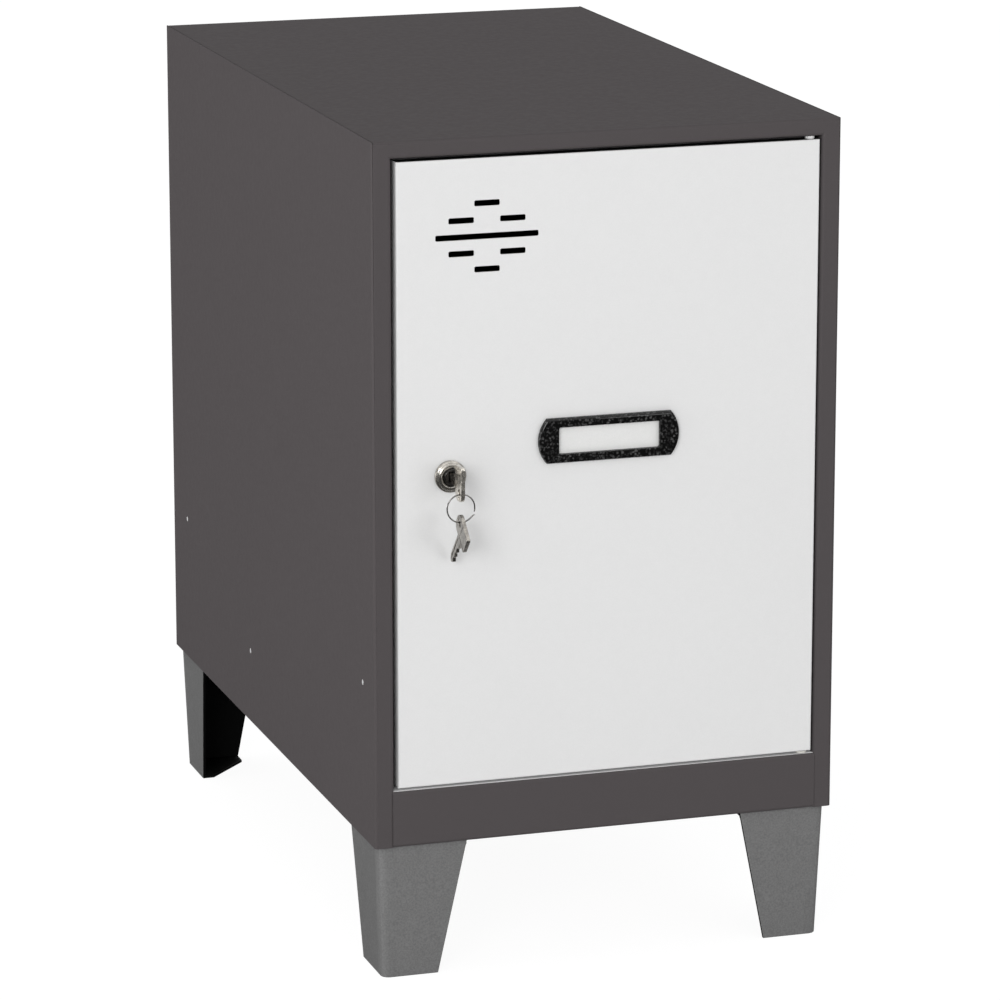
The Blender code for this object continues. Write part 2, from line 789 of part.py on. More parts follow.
def make_leg(end, side_name, side, materials, frame):
    """Tapered angle of folded sheet with a bolted top plate and a foot plate."""
    top = (LEG_TOP_INSET, LEG_TOP_REACH, LEG_TOP_REACH_BACK)
    foot = (LEG_FOOT_INSET, LEG_FOOT_REACH, LEG_FOOT_REACH_BACK)
    bm = bmesh.new()
    lofted(bm, (leg_loop(end, side, *foot, 0), leg_loop(end, side, *top, LEG_PLATE_TOP)))
    piece = make_piece("leg_" + end + "_" + side_name, bm, materials["leg"], frame)

    bm = bmesh.new()
    noses = (LEG_PLATE_NOSE, LEG_PLATE_NOSE)
    leg_plate(bm, end, side, *top, noses, (LEG_PLATE_TOP - LEG_SHEET, LEG_PLATE_TOP))
    join(piece, bm, "top_plate")
    bm = bmesh.new()
    noses = (FOOT_PLATE_NOSE - LEG_FOOT_INSET, FOOT_PLATE_HEEL - LEG_FOOT_INSET)
    if end == "front":
        foot = (LEG_FOOT_INSET, LEG_FOOT_REACH - FRONT_FOOT_SETBACK, LEG_FOOT_REACH_BACK)
    leg_plate(bm, end, side, *foot, noses, (0, LEG_SHEET))
    join(piece, bm, "foot_plate")
    cut(piece, bolt_holes(), "bolt_holes")


def make_leg_bolts(materials, frame):
    """Bolts up through each leg's top plate, each mesh with its origin under the head's seat."""
    seat = LEG_PLATE_TOP - LEG_SHEET - GAP
    end = BODY_BOTTOM + SHEET + GAP + NUT_HEIGHT + BOLT_END - seat
    head = hexagon((0, 0), BOLT_HEAD_FLATS, SMALL_ROUND_STEPS // 6)
    shank = circle((0, 0), BOLT_RADIUS, SMALL_ROUND_STEPS)
    sections = ((head, -BOLT_HEAD_HEIGHT), (head, 0), (shank, 0), (shank, end))
    bm = bmesh.new()
    lofted(bm, [[(*point, level) for point in ring] for ring, level in sections])
    mesh = surface(make_mesh("leg_bolt", bm, (0, 0, 0)), materials["zinc"])
    for name, across, setback in bolt_places():
        place("leg_bolt_" + name, mesh, frame, (across, setback, seat))


def hexagon_nut(bm, flats, bore, steps, start, end, axis, centre):
    outer = hexagon(centre, flats, steps // 6)
    inner = circle(centre, bore, steps)
    sections = ((outer, start), (outer, end), (inner, end), (inner, start))
    lofted(bm, [[in_space(axis, *point, level) for point in ring] for ring, level in sections], ring=True)


def make_leg_nuts(materials, frame):
    bm = bmesh.new()
    bore = BOLT_RADIUS + GAP
    hexagon_nut(bm, BOLT_HEAD_FLATS, bore, SMALL_ROUND_STEPS, 0, NUT_HEIGHT, "Z", (0, 0))
    mesh = surface(make_mesh("leg_nut", bm, (0, 0, 0)), materials["zinc"])
    for name, across, setback in bolt_places():
        place("leg_nut_" + name, mesh, frame, (across, setback, BODY_BOTTOM + SHEET + GAP))


def make_door_buffers(materials, frame):
    """Rubber buttons in the strike post that the door closes on."""
    profile = (
        (0, DOOR_DEPTH + GAP),
        (BUFFER_RADIUS, DOOR_DEPTH + GAP),
        (BUFFER_RADIUS, POST_Y - GAP),
        (BUFFER_STEM, POST_Y - GAP),
        (BUFFER_STEM, POST_Y + SHEET + BUFFER_STEM_END),
        (0, POST_Y + SHEET + BUFFER_STEM_END),
    )
    bm = bmesh.new()
    turned(bm, profile, (0, 0, 0), (0, 1, 0), SMALL_ROUND_STEPS)
    mesh = surface(make_mesh("door_buffer", bm, (0, 0, 0)), materials["rubber"])
    for name, across, height in buffer_places():
        place(name + "_door_buffer", mesh, frame, (across, 0, height))


def make_hinge_washer(materials, frame):
    """Nylon washer on the lower pin, between the sill and the door."""
    bore = PIN_RADIUS + GAP
    low, high = SILL_TOP + GAP, DOOR_BOTTOM - GAP
    profile = ((bore, low), (WASHER_RADIUS, low), (WASHER_RADIUS, high), (bore, high))
    bm = bmesh.new()
    turned(bm, profile, (HINGE_X, HINGE_FROM_FACE, 0), (0, 0, 1), ROUND_STEPS)
    make_piece("hinge_washer", bm, materials["nylon"], frame)


# Door

def door_loop(inset, depth):
    left, right = DOOR_LEFT + inset, DOOR_RIGHT - inset
    low, high = DOOR_BOTTOM + inset, DOOR_TOP - inset
    return [(left, depth, low), (right, depth, low), (right, depth, high), (left, depth, high)]


def vent_slots():
    """Slots in a diamond: one long one across the middle, and short ones above and below."""
    across, middle = -HALF_WIDTH + VENT_FROM_SIDE, BODY_TOP - VENT_FROM_TOP
    slots = [(0, 0, LONG_SLOT)]
    for way in (-1, 1):
        slots.append((0, 2 * way * SLOT_ROW, SHORT_SLOT))
        slots.append((-SLOT_COLUMN, way * SLOT_ROW, SHORT_SLOT))
        slots.append((SLOT_COLUMN, way * SLOT_ROW, SHORT_SLOT))
    bm = bmesh.new()
    for shift, rise, length in slots:
        left, right = across + shift - length / 2, across + shift + length / 2
        low, high = middle + rise - SLOT_HEIGHT / 2, middle + rise + SLOT_HEIGHT / 2
        ring = rounded_rectangle(left, right, low, high, SLOT_HEIGHT / 4)
        prism(bm, ring, "Y", -OVERRUN, DOOR_SHEET + OVERRUN)
    return bm


def make_door_panel(materials, frame):
    """Folded pan: face, four sides and a lip turned in along the back of each side."""
    loops = []
    for step in range(BEND_STEPS + 1):
        turn = math.pi / 2 * step / BEND_STEPS
        inset = DOOR_EDGE_RADIUS * (1 - math.sin(turn))
        loops.append(door_loop(inset, DOOR_EDGE_RADIUS * (1 - math.cos(turn))))
    loops.append(door_loop(0, DOOR_DEPTH))
    loops.append(door_loop(DOOR_LIP, DOOR_DEPTH))
    loops.append(door_loop(DOOR_LIP, DOOR_DEPTH - DOOR_SHEET))
    loops.append(door_loop(DOOR_SHEET, DOOR_DEPTH - DOOR_SHEET))
    loops.append(door_loop(DOOR_SHEET, DOOR_SHEET))
    bm = bmesh.new()
    lofted(bm, loops)
    piece = make_piece("door_panel", bm, materials["door"], frame)
    cut(piece, vent_slots(), "vent_slots")

    bm = bmesh.new()
    start, end = -OVERRUN, DOOR_SHEET + OVERRUN
    cylinder(bm, (LOCK_X, 0, LOCK_Z), (0, 1, 0), BARREL_RADIUS + GAP, start, end, COLLAR_STEPS)
    for way in (-1, 1):
        centre = (way * PEG_SPREAD, 0, HOLDER_Z)
        cylinder(bm, centre, (0, 1, 0), PEG_RADIUS + GAP, start, end, SMALL_ROUND_STEPS)
    cut(piece, bm, "face_holes")
    cut(piece, hinge_hole(DOOR_TOP - DOOR_SHEET - OVERRUN, DOOR_TOP + OVERRUN), "upper_pin_hole")
    cut(piece, hinge_hole(DOOR_BOTTOM - OVERRUN, DOOR_BOTTOM + DOOR_SHEET + OVERRUN), "lower_pin_hole")


def make_door_stiffener(materials, frame):
    """Hat section standing behind the door's face."""
    seat = DOOR_SHEET + GAP + DOOR_SHEET / 2
    middle = DOOR_RIGHT - STIFFENER_FROM_EDGE
    near, far = middle - STIFFENER_WIDTH / 2, middle + STIFFENER_WIDTH / 2
    crown = DOOR_SHEET + GAP + STIFFENER_DEPTH
    path = (
        (near - STIFFENER_FOOT, seat),
        (near, seat),
        (near, crown),
        (far, crown),
        (far, seat),
        (far + STIFFENER_FOOT, seat),
    )
    bm = bmesh.new()
    fold(bm, path, "Z", DOOR_BOTTOM + DOOR_SHEET + GAP, DOOR_TOP - DOOR_SHEET - GAP, DOOR_SHEET)
    make_piece("door_stiffener", bm, materials["door"], frame)


def make_hinge_hardware(name, door_edge, frame_face, way, materials, frame):
    """A pin through the door's edge into the frame, and the bracket that backs it."""
    inner = door_edge - way * (DOOR_SHEET + GAP)
    shelf = inner - way * BRACKET_DROP
    wall = DOOR_RIGHT - DOOR_SHEET - GAP - DOOR_SHEET / 2
    path = ((wall, inner), (wall, shelf), (wall - BRACKET_REACH, shelf))
    bm = bmesh.new()
    fold(bm, path, "Y", DOOR_SHEET + GAP, DOOR_DEPTH - DOOR_SHEET - GAP, DOOR_SHEET)
    bracket = make_piece(name + "_hinge_bracket", bm, materials["zinc"], frame)
    low, high = sorted((shelf - way * OVERRUN, shelf + way * OVERRUN))
    cut(bracket, hinge_hole(low, high), "pin_hole")

    collar = shelf - way * (DOOR_SHEET / 2 + GAP)
    profile = (
        (0, collar - way * PIN_COLLAR_HEIGHT),
        (PIN_COLLAR_RADIUS, collar - way * PIN_COLLAR_HEIGHT),
        (PIN_COLLAR_RADIUS, collar),
        (PIN_RADIUS, collar),
        (PIN_RADIUS, frame_face + way * PIN_BEYOND_FRAME),
        (0, frame_face + way * PIN_BEYOND_FRAME),
    )
    bm = bmesh.new()
    turned(bm, profile, (HINGE_X, HINGE_FROM_FACE, 0), (0, 0, 1), SMALL_ROUND_STEPS)
    make_piece(name + "_hinge_pin", bm, materials["zinc"], frame)


def holder_outline():
    """Straight top and bottom, with a bulging arc at each end; anticlockwise seen from the front."""
    half, rise = HOLDER_FLAT / 2, HOLDER_HEIGHT / 2
    bulge = (HOLDER_LENGTH - HOLDER_FLAT) / 2
    radius = (rise * rise + bulge * bulge) / (2 * bulge)
    spread = math.asin(rise / radius)
    ring = []
    for way in (1, -1):
        centre = way * (HOLDER_LENGTH / 2 - radius)
        for step in range(ARC_STEPS + 1):
            turn = way * spread * (2 * step / ARC_STEPS - 1)
            ring.append(np.array((centre + way * radius * math.cos(turn), radius * math.sin(turn))))
    return ring


def make_label_holder(materials, frame):
    """Frame with a chamfered front, a window, a pocket for the card and two pegs."""
    outline = holder_outline()
    front = HOLDER_THICKNESS
    loops = []
    for inset, proud in ((0, GAP), (0, front - HOLDER_CHAMFER), (HOLDER_CHAMFER, front)):
        ring = shrunk(outline, inset)
        loops.append([(across, -proud, HOLDER_Z + rise) for across, rise in ring])
    bm = bmesh.new()
    lofted(bm, loops)
    piece = make_piece("label_holder", bm, materials["plastic"], frame)

    half, rise = WINDOW_LENGTH / 2, WINDOW_HEIGHT / 2
    low, high = HOLDER_Z - rise, HOLDER_Z + rise
    bm = bmesh.new()
    window = rounded_rectangle(-half, half, low, high, WINDOW_RADIUS)
    prism(bm, window, "Y", -front - OVERRUN, OVERRUN)
    cut(piece, bm, "window")

    bm = bmesh.new()
    margin = CARD_MARGIN + GAP
    pocket = CARD_THICKNESS + 3 * GAP
    box(bm, (-half - margin, -pocket, low - margin), (half + margin, OVERRUN, high + margin))
    cut(piece, bm, "card_pocket")

    bm = bmesh.new()
    for way in (-1, 1):
        centre = (way * PEG_SPREAD, 0, HOLDER_Z)
        start, end = -front / 2, DOOR_SHEET + PEG_LENGTH
        cylinder(bm, centre, (0, 1, 0), PEG_RADIUS, start, end, SMALL_ROUND_STEPS)
    join(piece, bm, "pegs")


def make_label_card(materials, frame):
    half, rise = WINDOW_LENGTH / 2 + CARD_MARGIN, WINDOW_HEIGHT / 2 + CARD_MARGIN
    bm = bmesh.new()
    box(bm, (-half, -GAP - CARD_THICKNESS, HOLDER_Z - rise), (half, -GAP, HOLDER_Z + rise))
    make_piece("label_card", bm, materials["card"], frame)


# Lock

def lock_turned(name, profile, material, frame, steps=COLLAR_STEPS):
    bm = bmesh.new()
    turned(bm, profile, (LOCK_X, 0, LOCK_Z), (0, 1, 0), steps)
    return make_piece(name, bm, material, frame)


def make_lock_barrel(materials, frame):
    """Stepped collar in front of the door, and the barrel through it."""
    bore = PLUG_RADIUS + GAP
    slope = COLLAR_EDGE + COLLAR_EDGE / 4
    profile = (
        (bore, -LOCK_PROUD),
        (BARREL_RIM, -LOCK_PROUD),
        (COLLAR_FACE_RADIUS, -LOCK_PROUD + COLLAR_EDGE / 3),
        (COLLAR_RADIUS - COLLAR_EDGE / 4, -slope),
        (COLLAR_RADIUS, -COLLAR_EDGE),
        (COLLAR_RADIUS, -GAP),
        (BARREL_RADIUS, -GAP),
        (BARREL_RADIUS, BARREL_LENGTH),
        (bore, BARREL_LENGTH),
    )
    lock_turned("lock_barrel", profile, materials["nickel"], frame)


def make_lock_nut(materials, frame):
    start = DOOR_SHEET + GAP
    bore = BARREL_RADIUS + GAP
    bm = bmesh.new()
    hexagon_nut(bm, NUT_FLATS, bore, COLLAR_STEPS, start, start + LOCK_NUT_HEIGHT, "Y", (LOCK_X, LOCK_Z))
    make_piece("lock_nut", bm, materials["zinc"], frame)


def make_lock_plug(materials, frame):
    """Turning core with its keyway, a square tail for the cam and a bore for the cam's screw."""
    front = -LOCK_PROUD + GAP
    profile = ((0, front), (PLUG_RADIUS, front), (PLUG_RADIUS, TAIL_START), (0, TAIL_START))
    piece = lock_turned("lock_plug", profile, materials["nickel"], frame)
    half = TAIL_WIDTH / 2
    bm = bmesh.new()
    low = (LOCK_X - half, TAIL_START - OVERRUN, LOCK_Z - half)
    box(bm, low, (LOCK_X + half, TAIL_START + TAIL_LENGTH, LOCK_Z + half))
    join(piece, bm, "tail")

    bm = bmesh.new()
    across, rise = KEY_THICKNESS / 2 + GAP, BLADE_HALF_HEIGHT + GAP
    inner = BLADE_LENGTH - KEY_SHOULDER + GAP
    box(bm, (LOCK_X - across, front - OVERRUN, LOCK_Z - rise), (LOCK_X + across, inner, LOCK_Z + rise))
    cut(piece, bm, "keyway")

    bm = bmesh.new()
    end = TAIL_START + TAIL_LENGTH
    start, radius = end - SCREW_LENGTH, SCREW_RADIUS + GAP
    cylinder(bm, (LOCK_X, 0, LOCK_Z), (0, 1, 0), radius, start, end + OVERRUN, SMALL_ROUND_STEPS)
    cut(piece, bm, "screw_bore")


def make_lock_cam(materials, frame):
    """Cam arm that hangs down when the lock is open and turns behind the strike post."""
    half = CAM_WIDTH / 2
    low = LOCK_Z - CAM_LENGTH
    ring = rounded_ring(
        (
            ((LOCK_X - half, low), half / 2),
            ((LOCK_X + half, low), half / 2),
            ((LOCK_X + half, LOCK_Z + half), half),
            ((LOCK_X - half, LOCK_Z + half), half),
        )
    )
    bm = bmesh.new()
    prism(bm, ring, "Y", CAM_FRONT, CAM_BACK)
    piece = make_piece("lock_cam", bm, materials["zinc"], frame)
    bm = bmesh.new()
    half = TAIL_WIDTH / 2 + GAP
    low, high = CAM_FRONT - OVERRUN, CAM_BACK + OVERRUN
    box(bm, (LOCK_X - half, low, LOCK_Z - half), (LOCK_X + half, high, LOCK_Z + half))
    cut(piece, bm, "square_hole")


def make_cam_fastening(materials, frame):
    """Washer and screw that hold the cam on the core's tail."""
    start = CAM_BACK + GAP
    end = start + CAM_WASHER_SHEET
    bore = SCREW_RADIUS + GAP
    profile = ((bore, start), (CAM_WASHER_RADIUS, start), (CAM_WASHER_RADIUS, end), (bore, end))
    lock_turned("cam_washer", profile, materials["zinc"], frame, ROUND_STEPS)

    head = end + GAP
    tip = TAIL_START + TAIL_LENGTH - SCREW_LENGTH + GAP
    profile = (
        (0, tip),
        (SCREW_RADIUS, tip),
        (SCREW_RADIUS, head),
        (SCREW_HEAD_RADIUS, head),
        (SCREW_HEAD_RADIUS, head + SCREW_HEAD_HEIGHT / 2),
        (SCREW_HEAD_RADIUS / 2, head + SCREW_HEAD_HEIGHT),
        (0, head + SCREW_HEAD_HEIGHT),
    )
    lock_turned("cam_screw", profile, materials["zinc"], frame, ROUND_STEPS)


# Keys

def key_outline():
    """A key in its own plane: the eye is the origin, the blade points along the first axis."""
    outer = -(BOW_DEPTH / 2 - EYE_OFFSET)
    inner = outer + BOW_DEPTH
    low, high = -EYE_FROM_END, BOW_LENGTH - EYE_FROM_END
    blade_low, blade_high = BOW_MIDDLE - BLADE_HALF_HEIGHT, BOW_MIDDLE + BLADE_HALF_HEIGHT
    tip = inner + BLADE_LENGTH
    taper = BLADE_LENGTH * BLADE_TIP_SHARE
    corners = [
        ((outer, low), BOW_ROUND_END),
        ((inner, low), BOW_ROUND_END),
        ((inner, blade_low), 0),
        ((tip - taper, blade_low), 0),
        ((tip, BOW_MIDDLE), 0),
    ]
    for along, rise in reversed(BLADE_CUT_SHARES):
        corners.append(((inner + BLADE_LENGTH * along, BOW_MIDDLE + BLADE_HALF_HEIGHT * rise), 0))
    corners += [
        ((inner, blade_high), 0),
        ((inner, high), BOW_SQUARE_END),
        ((outer, high), BOW_SQUARE_END),
    ]
    return rounded_ring(corners, BEND_STEPS)


def key_holes():
    """The small eye at the end of the bow, and the oval hole that the wire goes through."""
    eye = circle((0, 0), EYE_RADIUS, SMALL_ROUND_STEPS)
    oval = [
        (across * OVAL_HALF_WIDTH, OVAL_FROM_EYE + rise * OVAL_HALF_LENGTH)
        for across, rise in circle((0, 0), 1, SMALL_ROUND_STEPS)
    ]
    half = KEY_THICKNESS / 2 + OVERRUN
    bm = bmesh.new()
    prism(bm, eye, "X", -half, half)
    prism(bm, oval, "X", -half, half)
    return bm


def spare_rotation():
    """Turned round, then tipped so that the bow leans out and the blade points to the door."""
    turned_round = Matrix.Rotation(math.pi, 3, "Z")
    return Matrix.Rotation(SPARE_TURN, 3, "X") @ turned_round


def spare_eye():
    """Place of the spare key's eye when its oval hole hangs on the bottom of the ring."""
    wire = Vector((LOCK_X, EYE_Y, RING_BOTTOM_Z))
    return wire - spare_rotation() @ Vector((0, 0, WIRE_FROM_EYE))


def cabinet_shift():
    """How far back the cabinet stands for the origin to lie under the middle of the object."""
    rotation = spare_rotation()
    reach = min((rotation @ Vector((0, *point))).y for point in key_outline())
    return -(BODY_DEPTH + spare_eye().y + reach) / 2


def make_key_ring(materials, frame):
    """Open ring of round wire in a plane that faces the front."""
    centre = Vector((LOCK_X, EYE_Y, RING_TOP_Z - RING_RADIUS))
    start = RING_OPENING_PLACE + RING_OPENING / 2
    outward = Vector((math.cos(start), 0, math.sin(start)))
    bm = bmesh.new()
    section = circle((RING_RADIUS, 0), WIRE_RADIUS, WIRE_SIDES)
    verts = [bm.verts.new(centre + outward * float(out) + Vector((0, back, 0))) for out, back in section]
    face = bm.faces.new(verts)
    bmesh.ops.spin(
        bm,
        geom=[face],
        cent=centre,
        axis=(0, -1, 0),
        angle=2 * math.pi - RING_OPENING,
        steps=RING_STEPS,
    )
    make_piece("key_ring", bm, materials["nickel"], frame)


def make_keys(materials, key_frame, spare_frame):
    """Two keys of one shape, each with its origin at its eye."""
    half = KEY_THICKNESS / 2
    bm = bmesh.new()
    prism(bm, key_outline(), "X", -half, half)
    mesh = surface(make_mesh("key", bm, (0, 0, 0)), materials["nickel"])
    holes = make_mesh("key_holes", key_holes(), (0, 0, 0))
    upright = Matrix.Identity(3)
    hanging = (
        ("lock_key", key_frame, (LOCK_X, EYE_Y, EYE_Z), upright),
        ("spare_key", spare_frame, spare_eye(), spare_rotation()),
    )
    for name, frame, point, rotation in hanging:
        key = place(name, mesh, frame, point)
        helper = place(name + "_holes", holes, frame, point)
        for item in (key, helper):
            item.rotation_euler = rotation.to_euler()
        change(key, helper, "DIFFERENCE", "holes")


def main():
    for item in list(bpy.data.objects):
        bpy.data.objects.remove(item)
    materials = make_materials()

    cabinet = make_frame("cabinet_frame", (0, 0, 0))
    door = make_frame("door_frame", (HINGE_X, HINGE_FROM_FACE, 0), cabinet)
    core = make_frame("core_frame", (LOCK_X, 0, LOCK_Z), door)
    key = make_frame("key_frame", (LOCK_X, 0, LOCK_Z), core)
    ring = make_frame("ring_frame", (LOCK_X, EYE_Y, RING_TOP_Z), key)
    spare = make_frame("spare_frame", (LOCK_X, EYE_Y, RING_BOTTOM_Z), ring)

    for name, side in SIDES.items():
        make_side_panel(name + "_side_panel", side, materials, cabinet)
    make_rivets(materials, cabinet)
    make_back_panel(materials, cabinet)
    make_top_panel(materials, cabinet)
    make_bottom_rail(materials, cabinet)
    make_floor_panel(materials, cabinet)
    make_strike_post(materials, cabinet)
    make_post("hinge_post", SIDES["right"], materials, cabinet)
    for end, side_name, side in corners():
        make_leg(end, side_name, side, materials, cabinet)
    make_leg_bolts(materials, cabinet)
    make_leg_nuts(materials, cabinet)
    make_door_buffers(materials, cabinet)
    make_hinge_washer(materials, cabinet)

    make_door_panel(materials, door)
    make_door_stiffener(materials, door)
    make_hinge_hardware("upper", DOOR_TOP, LINTEL_BOTTOM, 1, materials, door)
    make_hinge_hardware("lower", DOOR_BOTTOM, SILL_TOP, -1, materials, door)
    make_label_holder(materials, door)
    make_label_card(materials, door)
    make_lock_barrel(materials, door)
    make_lock_nut(materials, door)

    make_lock_plug(materials, core)
    make_lock_cam(materials, core)
    make_cam_fastening(materials, core)
    make_keys(materials, key, spare)
    make_key_ring(materials, ring)


main()
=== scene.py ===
"""Looks of the cube locker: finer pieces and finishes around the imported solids.

Lengths are in metres. X runs to the right, Y to the back and Z up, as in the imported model.
"""

import json
import math

import bmesh
import bpy
from mathutils import Matrix, Vector


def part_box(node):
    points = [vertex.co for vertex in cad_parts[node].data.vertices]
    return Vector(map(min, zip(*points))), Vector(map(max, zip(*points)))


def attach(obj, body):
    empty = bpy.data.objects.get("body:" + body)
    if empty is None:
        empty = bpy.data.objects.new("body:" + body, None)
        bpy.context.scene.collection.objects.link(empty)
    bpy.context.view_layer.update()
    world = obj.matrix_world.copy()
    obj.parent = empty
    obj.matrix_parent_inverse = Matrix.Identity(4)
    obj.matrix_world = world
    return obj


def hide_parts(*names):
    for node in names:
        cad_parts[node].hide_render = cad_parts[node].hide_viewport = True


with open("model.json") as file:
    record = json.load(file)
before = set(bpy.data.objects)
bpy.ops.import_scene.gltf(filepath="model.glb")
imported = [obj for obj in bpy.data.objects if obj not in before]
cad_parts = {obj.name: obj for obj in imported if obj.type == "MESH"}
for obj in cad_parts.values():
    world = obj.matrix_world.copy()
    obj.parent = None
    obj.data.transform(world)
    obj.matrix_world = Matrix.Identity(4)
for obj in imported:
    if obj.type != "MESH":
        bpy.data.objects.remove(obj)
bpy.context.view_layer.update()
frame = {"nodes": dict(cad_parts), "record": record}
NODES = frame["nodes"]


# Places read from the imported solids

def middle(node):
    low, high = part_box(node)
    return (low + high) / 2


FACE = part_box("door_panel")[0].y
LOCK = Vector((middle("lock_barrel").x, FACE, middle("lock_barrel").z))
HOLDER = Vector((middle("label_holder").x, FACE, middle("label_holder").z))


# Camera, floor and lamps

CAMERA_YAW = math.radians(17.765)
CAMERA_PITCH = math.radians(13.815)
CAMERA_PLACE = (-0.9765, -3.0619, 1.0325)
CAMERA_LENS = 180.79
CAMERA_SENSOR = 36
CAMERA_REACH = 50
LAMP_TARGET = (0, 0, 0.3)
# Name, place, width, height and power
LAMPS = (
    ("key_lamp", (-2.2, -3.2, 1.5), 1.4, 1.4, 44),
    ("fill_lamp", (2.0, -3.6, 0.7), 1.6, 1.2, 16),
    ("side_lamp", (-3.6, 0.1, 0.5), 1.6, 1.0, 38),
)


def make_camera():
    data = bpy.data.cameras.new("camera")
    data.sensor_width = CAMERA_SENSOR
    data.lens = CAMERA_LENS
    data.clip_end = CAMERA_REACH
    camera = bpy.data.objects.new("camera", data)
    camera.location = CAMERA_PLACE
    camera.rotation_euler = (math.pi / 2 - CAMERA_PITCH, 0, -CAMERA_YAW)
    bpy.context.scene.collection.objects.link(camera)
    bpy.context.scene.camera = camera


def make_lamps():
    """Soft lamps, each facing the middle of the object."""
    for name, place, width, height, power in LAMPS:
        data = bpy.data.lights.new(name, "AREA")
        data.shape = "RECTANGLE"
        data.size = width
        data.size_y = height
        data.energy = power
        lamp = bpy.data.objects.new(name, data)
        lamp.location = place
        way = Vector(LAMP_TARGET) - Vector(place)
        lamp.rotation_euler = way.to_track_quat("-Z", "Y").to_euler()
        bpy.context.scene.collection.objects.link(lamp)


# Helpers for shader nodes

def add(tree, kind, values=None, **settings):
    """A shader node with its settings, and its inputs set or linked by name or number."""
    made = tree.nodes.new(kind)
    for name, value in settings.items():
        setattr(made, name, value)
    for name, value in (values or {}).items():
        if isinstance(value, bpy.types.NodeSocket):
            tree.links.new(value, made.inputs[name])
        else:
            made.inputs[name].default_value = value
    return made


def tinted(tree, share, first, second):
    """The colour between two colours."""
    mix = add(tree, "ShaderNodeMix", {0: share, 6: first, 7: second}, data_type="RGBA")
    return mix.outputs[2]


def between(tree, share, first, second):
    """The value between two values, for a share of 0 to 1."""
    mix = add(tree, "ShaderNodeMix", {0: share, 2: first, 3: second}, data_type="FLOAT")
    return mix.outputs[0]


def calculated(tree, operation, *values):
    return add(tree, "ShaderNodeMath", dict(enumerate(values)), operation=operation).outputs[0]


def spread(tree, value, low, high, start=0.0, end=1.0):
    """A value's range of low to high taken to start to end."""
    values = {0: value, 1: low, 2: high, 3: start, 4: end}
    return add(tree, "ShaderNodeMapRange", values, interpolation_type="SMOOTHSTEP").outputs[0]


def noise(tree, point, scale, detail=2.0, roughness=0.5):
    values = {"Vector": point, "Scale": scale, "Detail": detail, "Roughness": roughness}
    return add(tree, "ShaderNodeTexNoise", values).outputs[0]


def make_group(name, inputs, outputs):
    """An empty node group; an input is (name, socket kind, value), an output (name, socket kind)."""
    tree = bpy.data.node_groups.new(name, "ShaderNodeTree")
    for label, kind, value in inputs:
        socket = tree.interface.new_socket(label, in_out="INPUT", socket_type="NodeSocket" + kind)
        socket.default_value = value
    for label, kind in outputs:
        tree.interface.new_socket(label, in_out="OUTPUT", socket_type="NodeSocket" + kind)
    return tree, add(tree, "NodeGroupInput").outputs, add(tree, "NodeGroupOutput").inputs


def give(tree, sockets, **results):
    for name, value in results.items():
        tree.links.new(value, sockets[name.replace("_", " ")])


# Effects that several finishes use

def make_grain_group():
    """Fine relief of a sprayed or moulded surface, with slow changes of tone."""
    tree, given, out = make_group(
        "grain",
        (
            ("Colour", "Color", (1, 1, 1, 1)),
            ("Grain Size", "Float", 0.001),
            ("Tone", "Float", 0.05),
            ("Mottle", "Float", 0.5),
            ("Low Roughness", "Float", 0.4),
            ("High Roughness", "Float", 0.5),
        ),
        (("Colour", "Color"), ("Roughness", "Float"), ("Height", "Float")),
    )
    point = add(tree, "ShaderNodeTexCoord").outputs["Object"]
    scale = calculated(tree, "DIVIDE", 1.0, given["Grain Size"])
    fine = noise(tree, point, scale, 3.0)
    mottle = noise(tree, point, calculated(tree, "MULTIPLY", scale, 0.22), 3.0)
    slow = noise(tree, point, 7.0, 2.0)
    patches = spread(tree, mottle, 0.3, 0.7, -0.6, 0.6)
    broad = calculated(tree, "ADD", patches, spread(tree, slow, 0.3, 0.7, -0.4, 0.4))
    tones = calculated(tree, "MULTIPLY_ADD", broad, given["Mottle"], spread(tree, fine, 0.3, 0.7, -0.6, 0.6))
    factor = calculated(tree, "MULTIPLY_ADD", tones, given["Tone"], 1.0)
    colour = add(tree, "ShaderNodeVectorMath", {0: given["Colour"], 3: factor}, operation="SCALE").outputs[0]
    rough = between(tree, spread(tree, mottle, 0.3, 0.7), given["Low Roughness"], given["High Roughness"])
    give(tree, out, Colour=colour, Roughness=rough, Height=fine)
    return tree


def make_edge_wear_and_highlight_group():
    """How far a point lies on an outer edge, broken up so that the paler edge, partly wear and partly
    painted highlight, is uneven.
    """
    tree, given, out = make_group(
        "edge_wear_and_highlight",
        (("Radius", "Float", 0.001), ("Breakup Size", "Float", 0.01)),
        (("Edge", "Float"),),
    )
    eased = add(tree, "ShaderNodeBevel", {"Radius": given["Radius"]}, samples=4).outputs[0]
    true = add(tree, "ShaderNodeNewGeometry").outputs["Normal"]
    alike = add(tree, "ShaderNodeVectorMath", {0: eased, 1: true}, operation="DOT_PRODUCT").outputs["Value"]
    sharp = spread(tree, alike, 0.995, 0.8)
    point = add(tree, "ShaderNodeTexCoord").outputs["Object"]
    patches = noise(tree, point, calculated(tree, "DIVIDE", 1.0, given["Breakup Size"]), 4.0, 0.6)
    give(tree, out, Edge=calculated(tree, "MULTIPLY", sharp, spread(tree, patches, 0.35, 0.65, 0.25, 1.0)))
    return tree


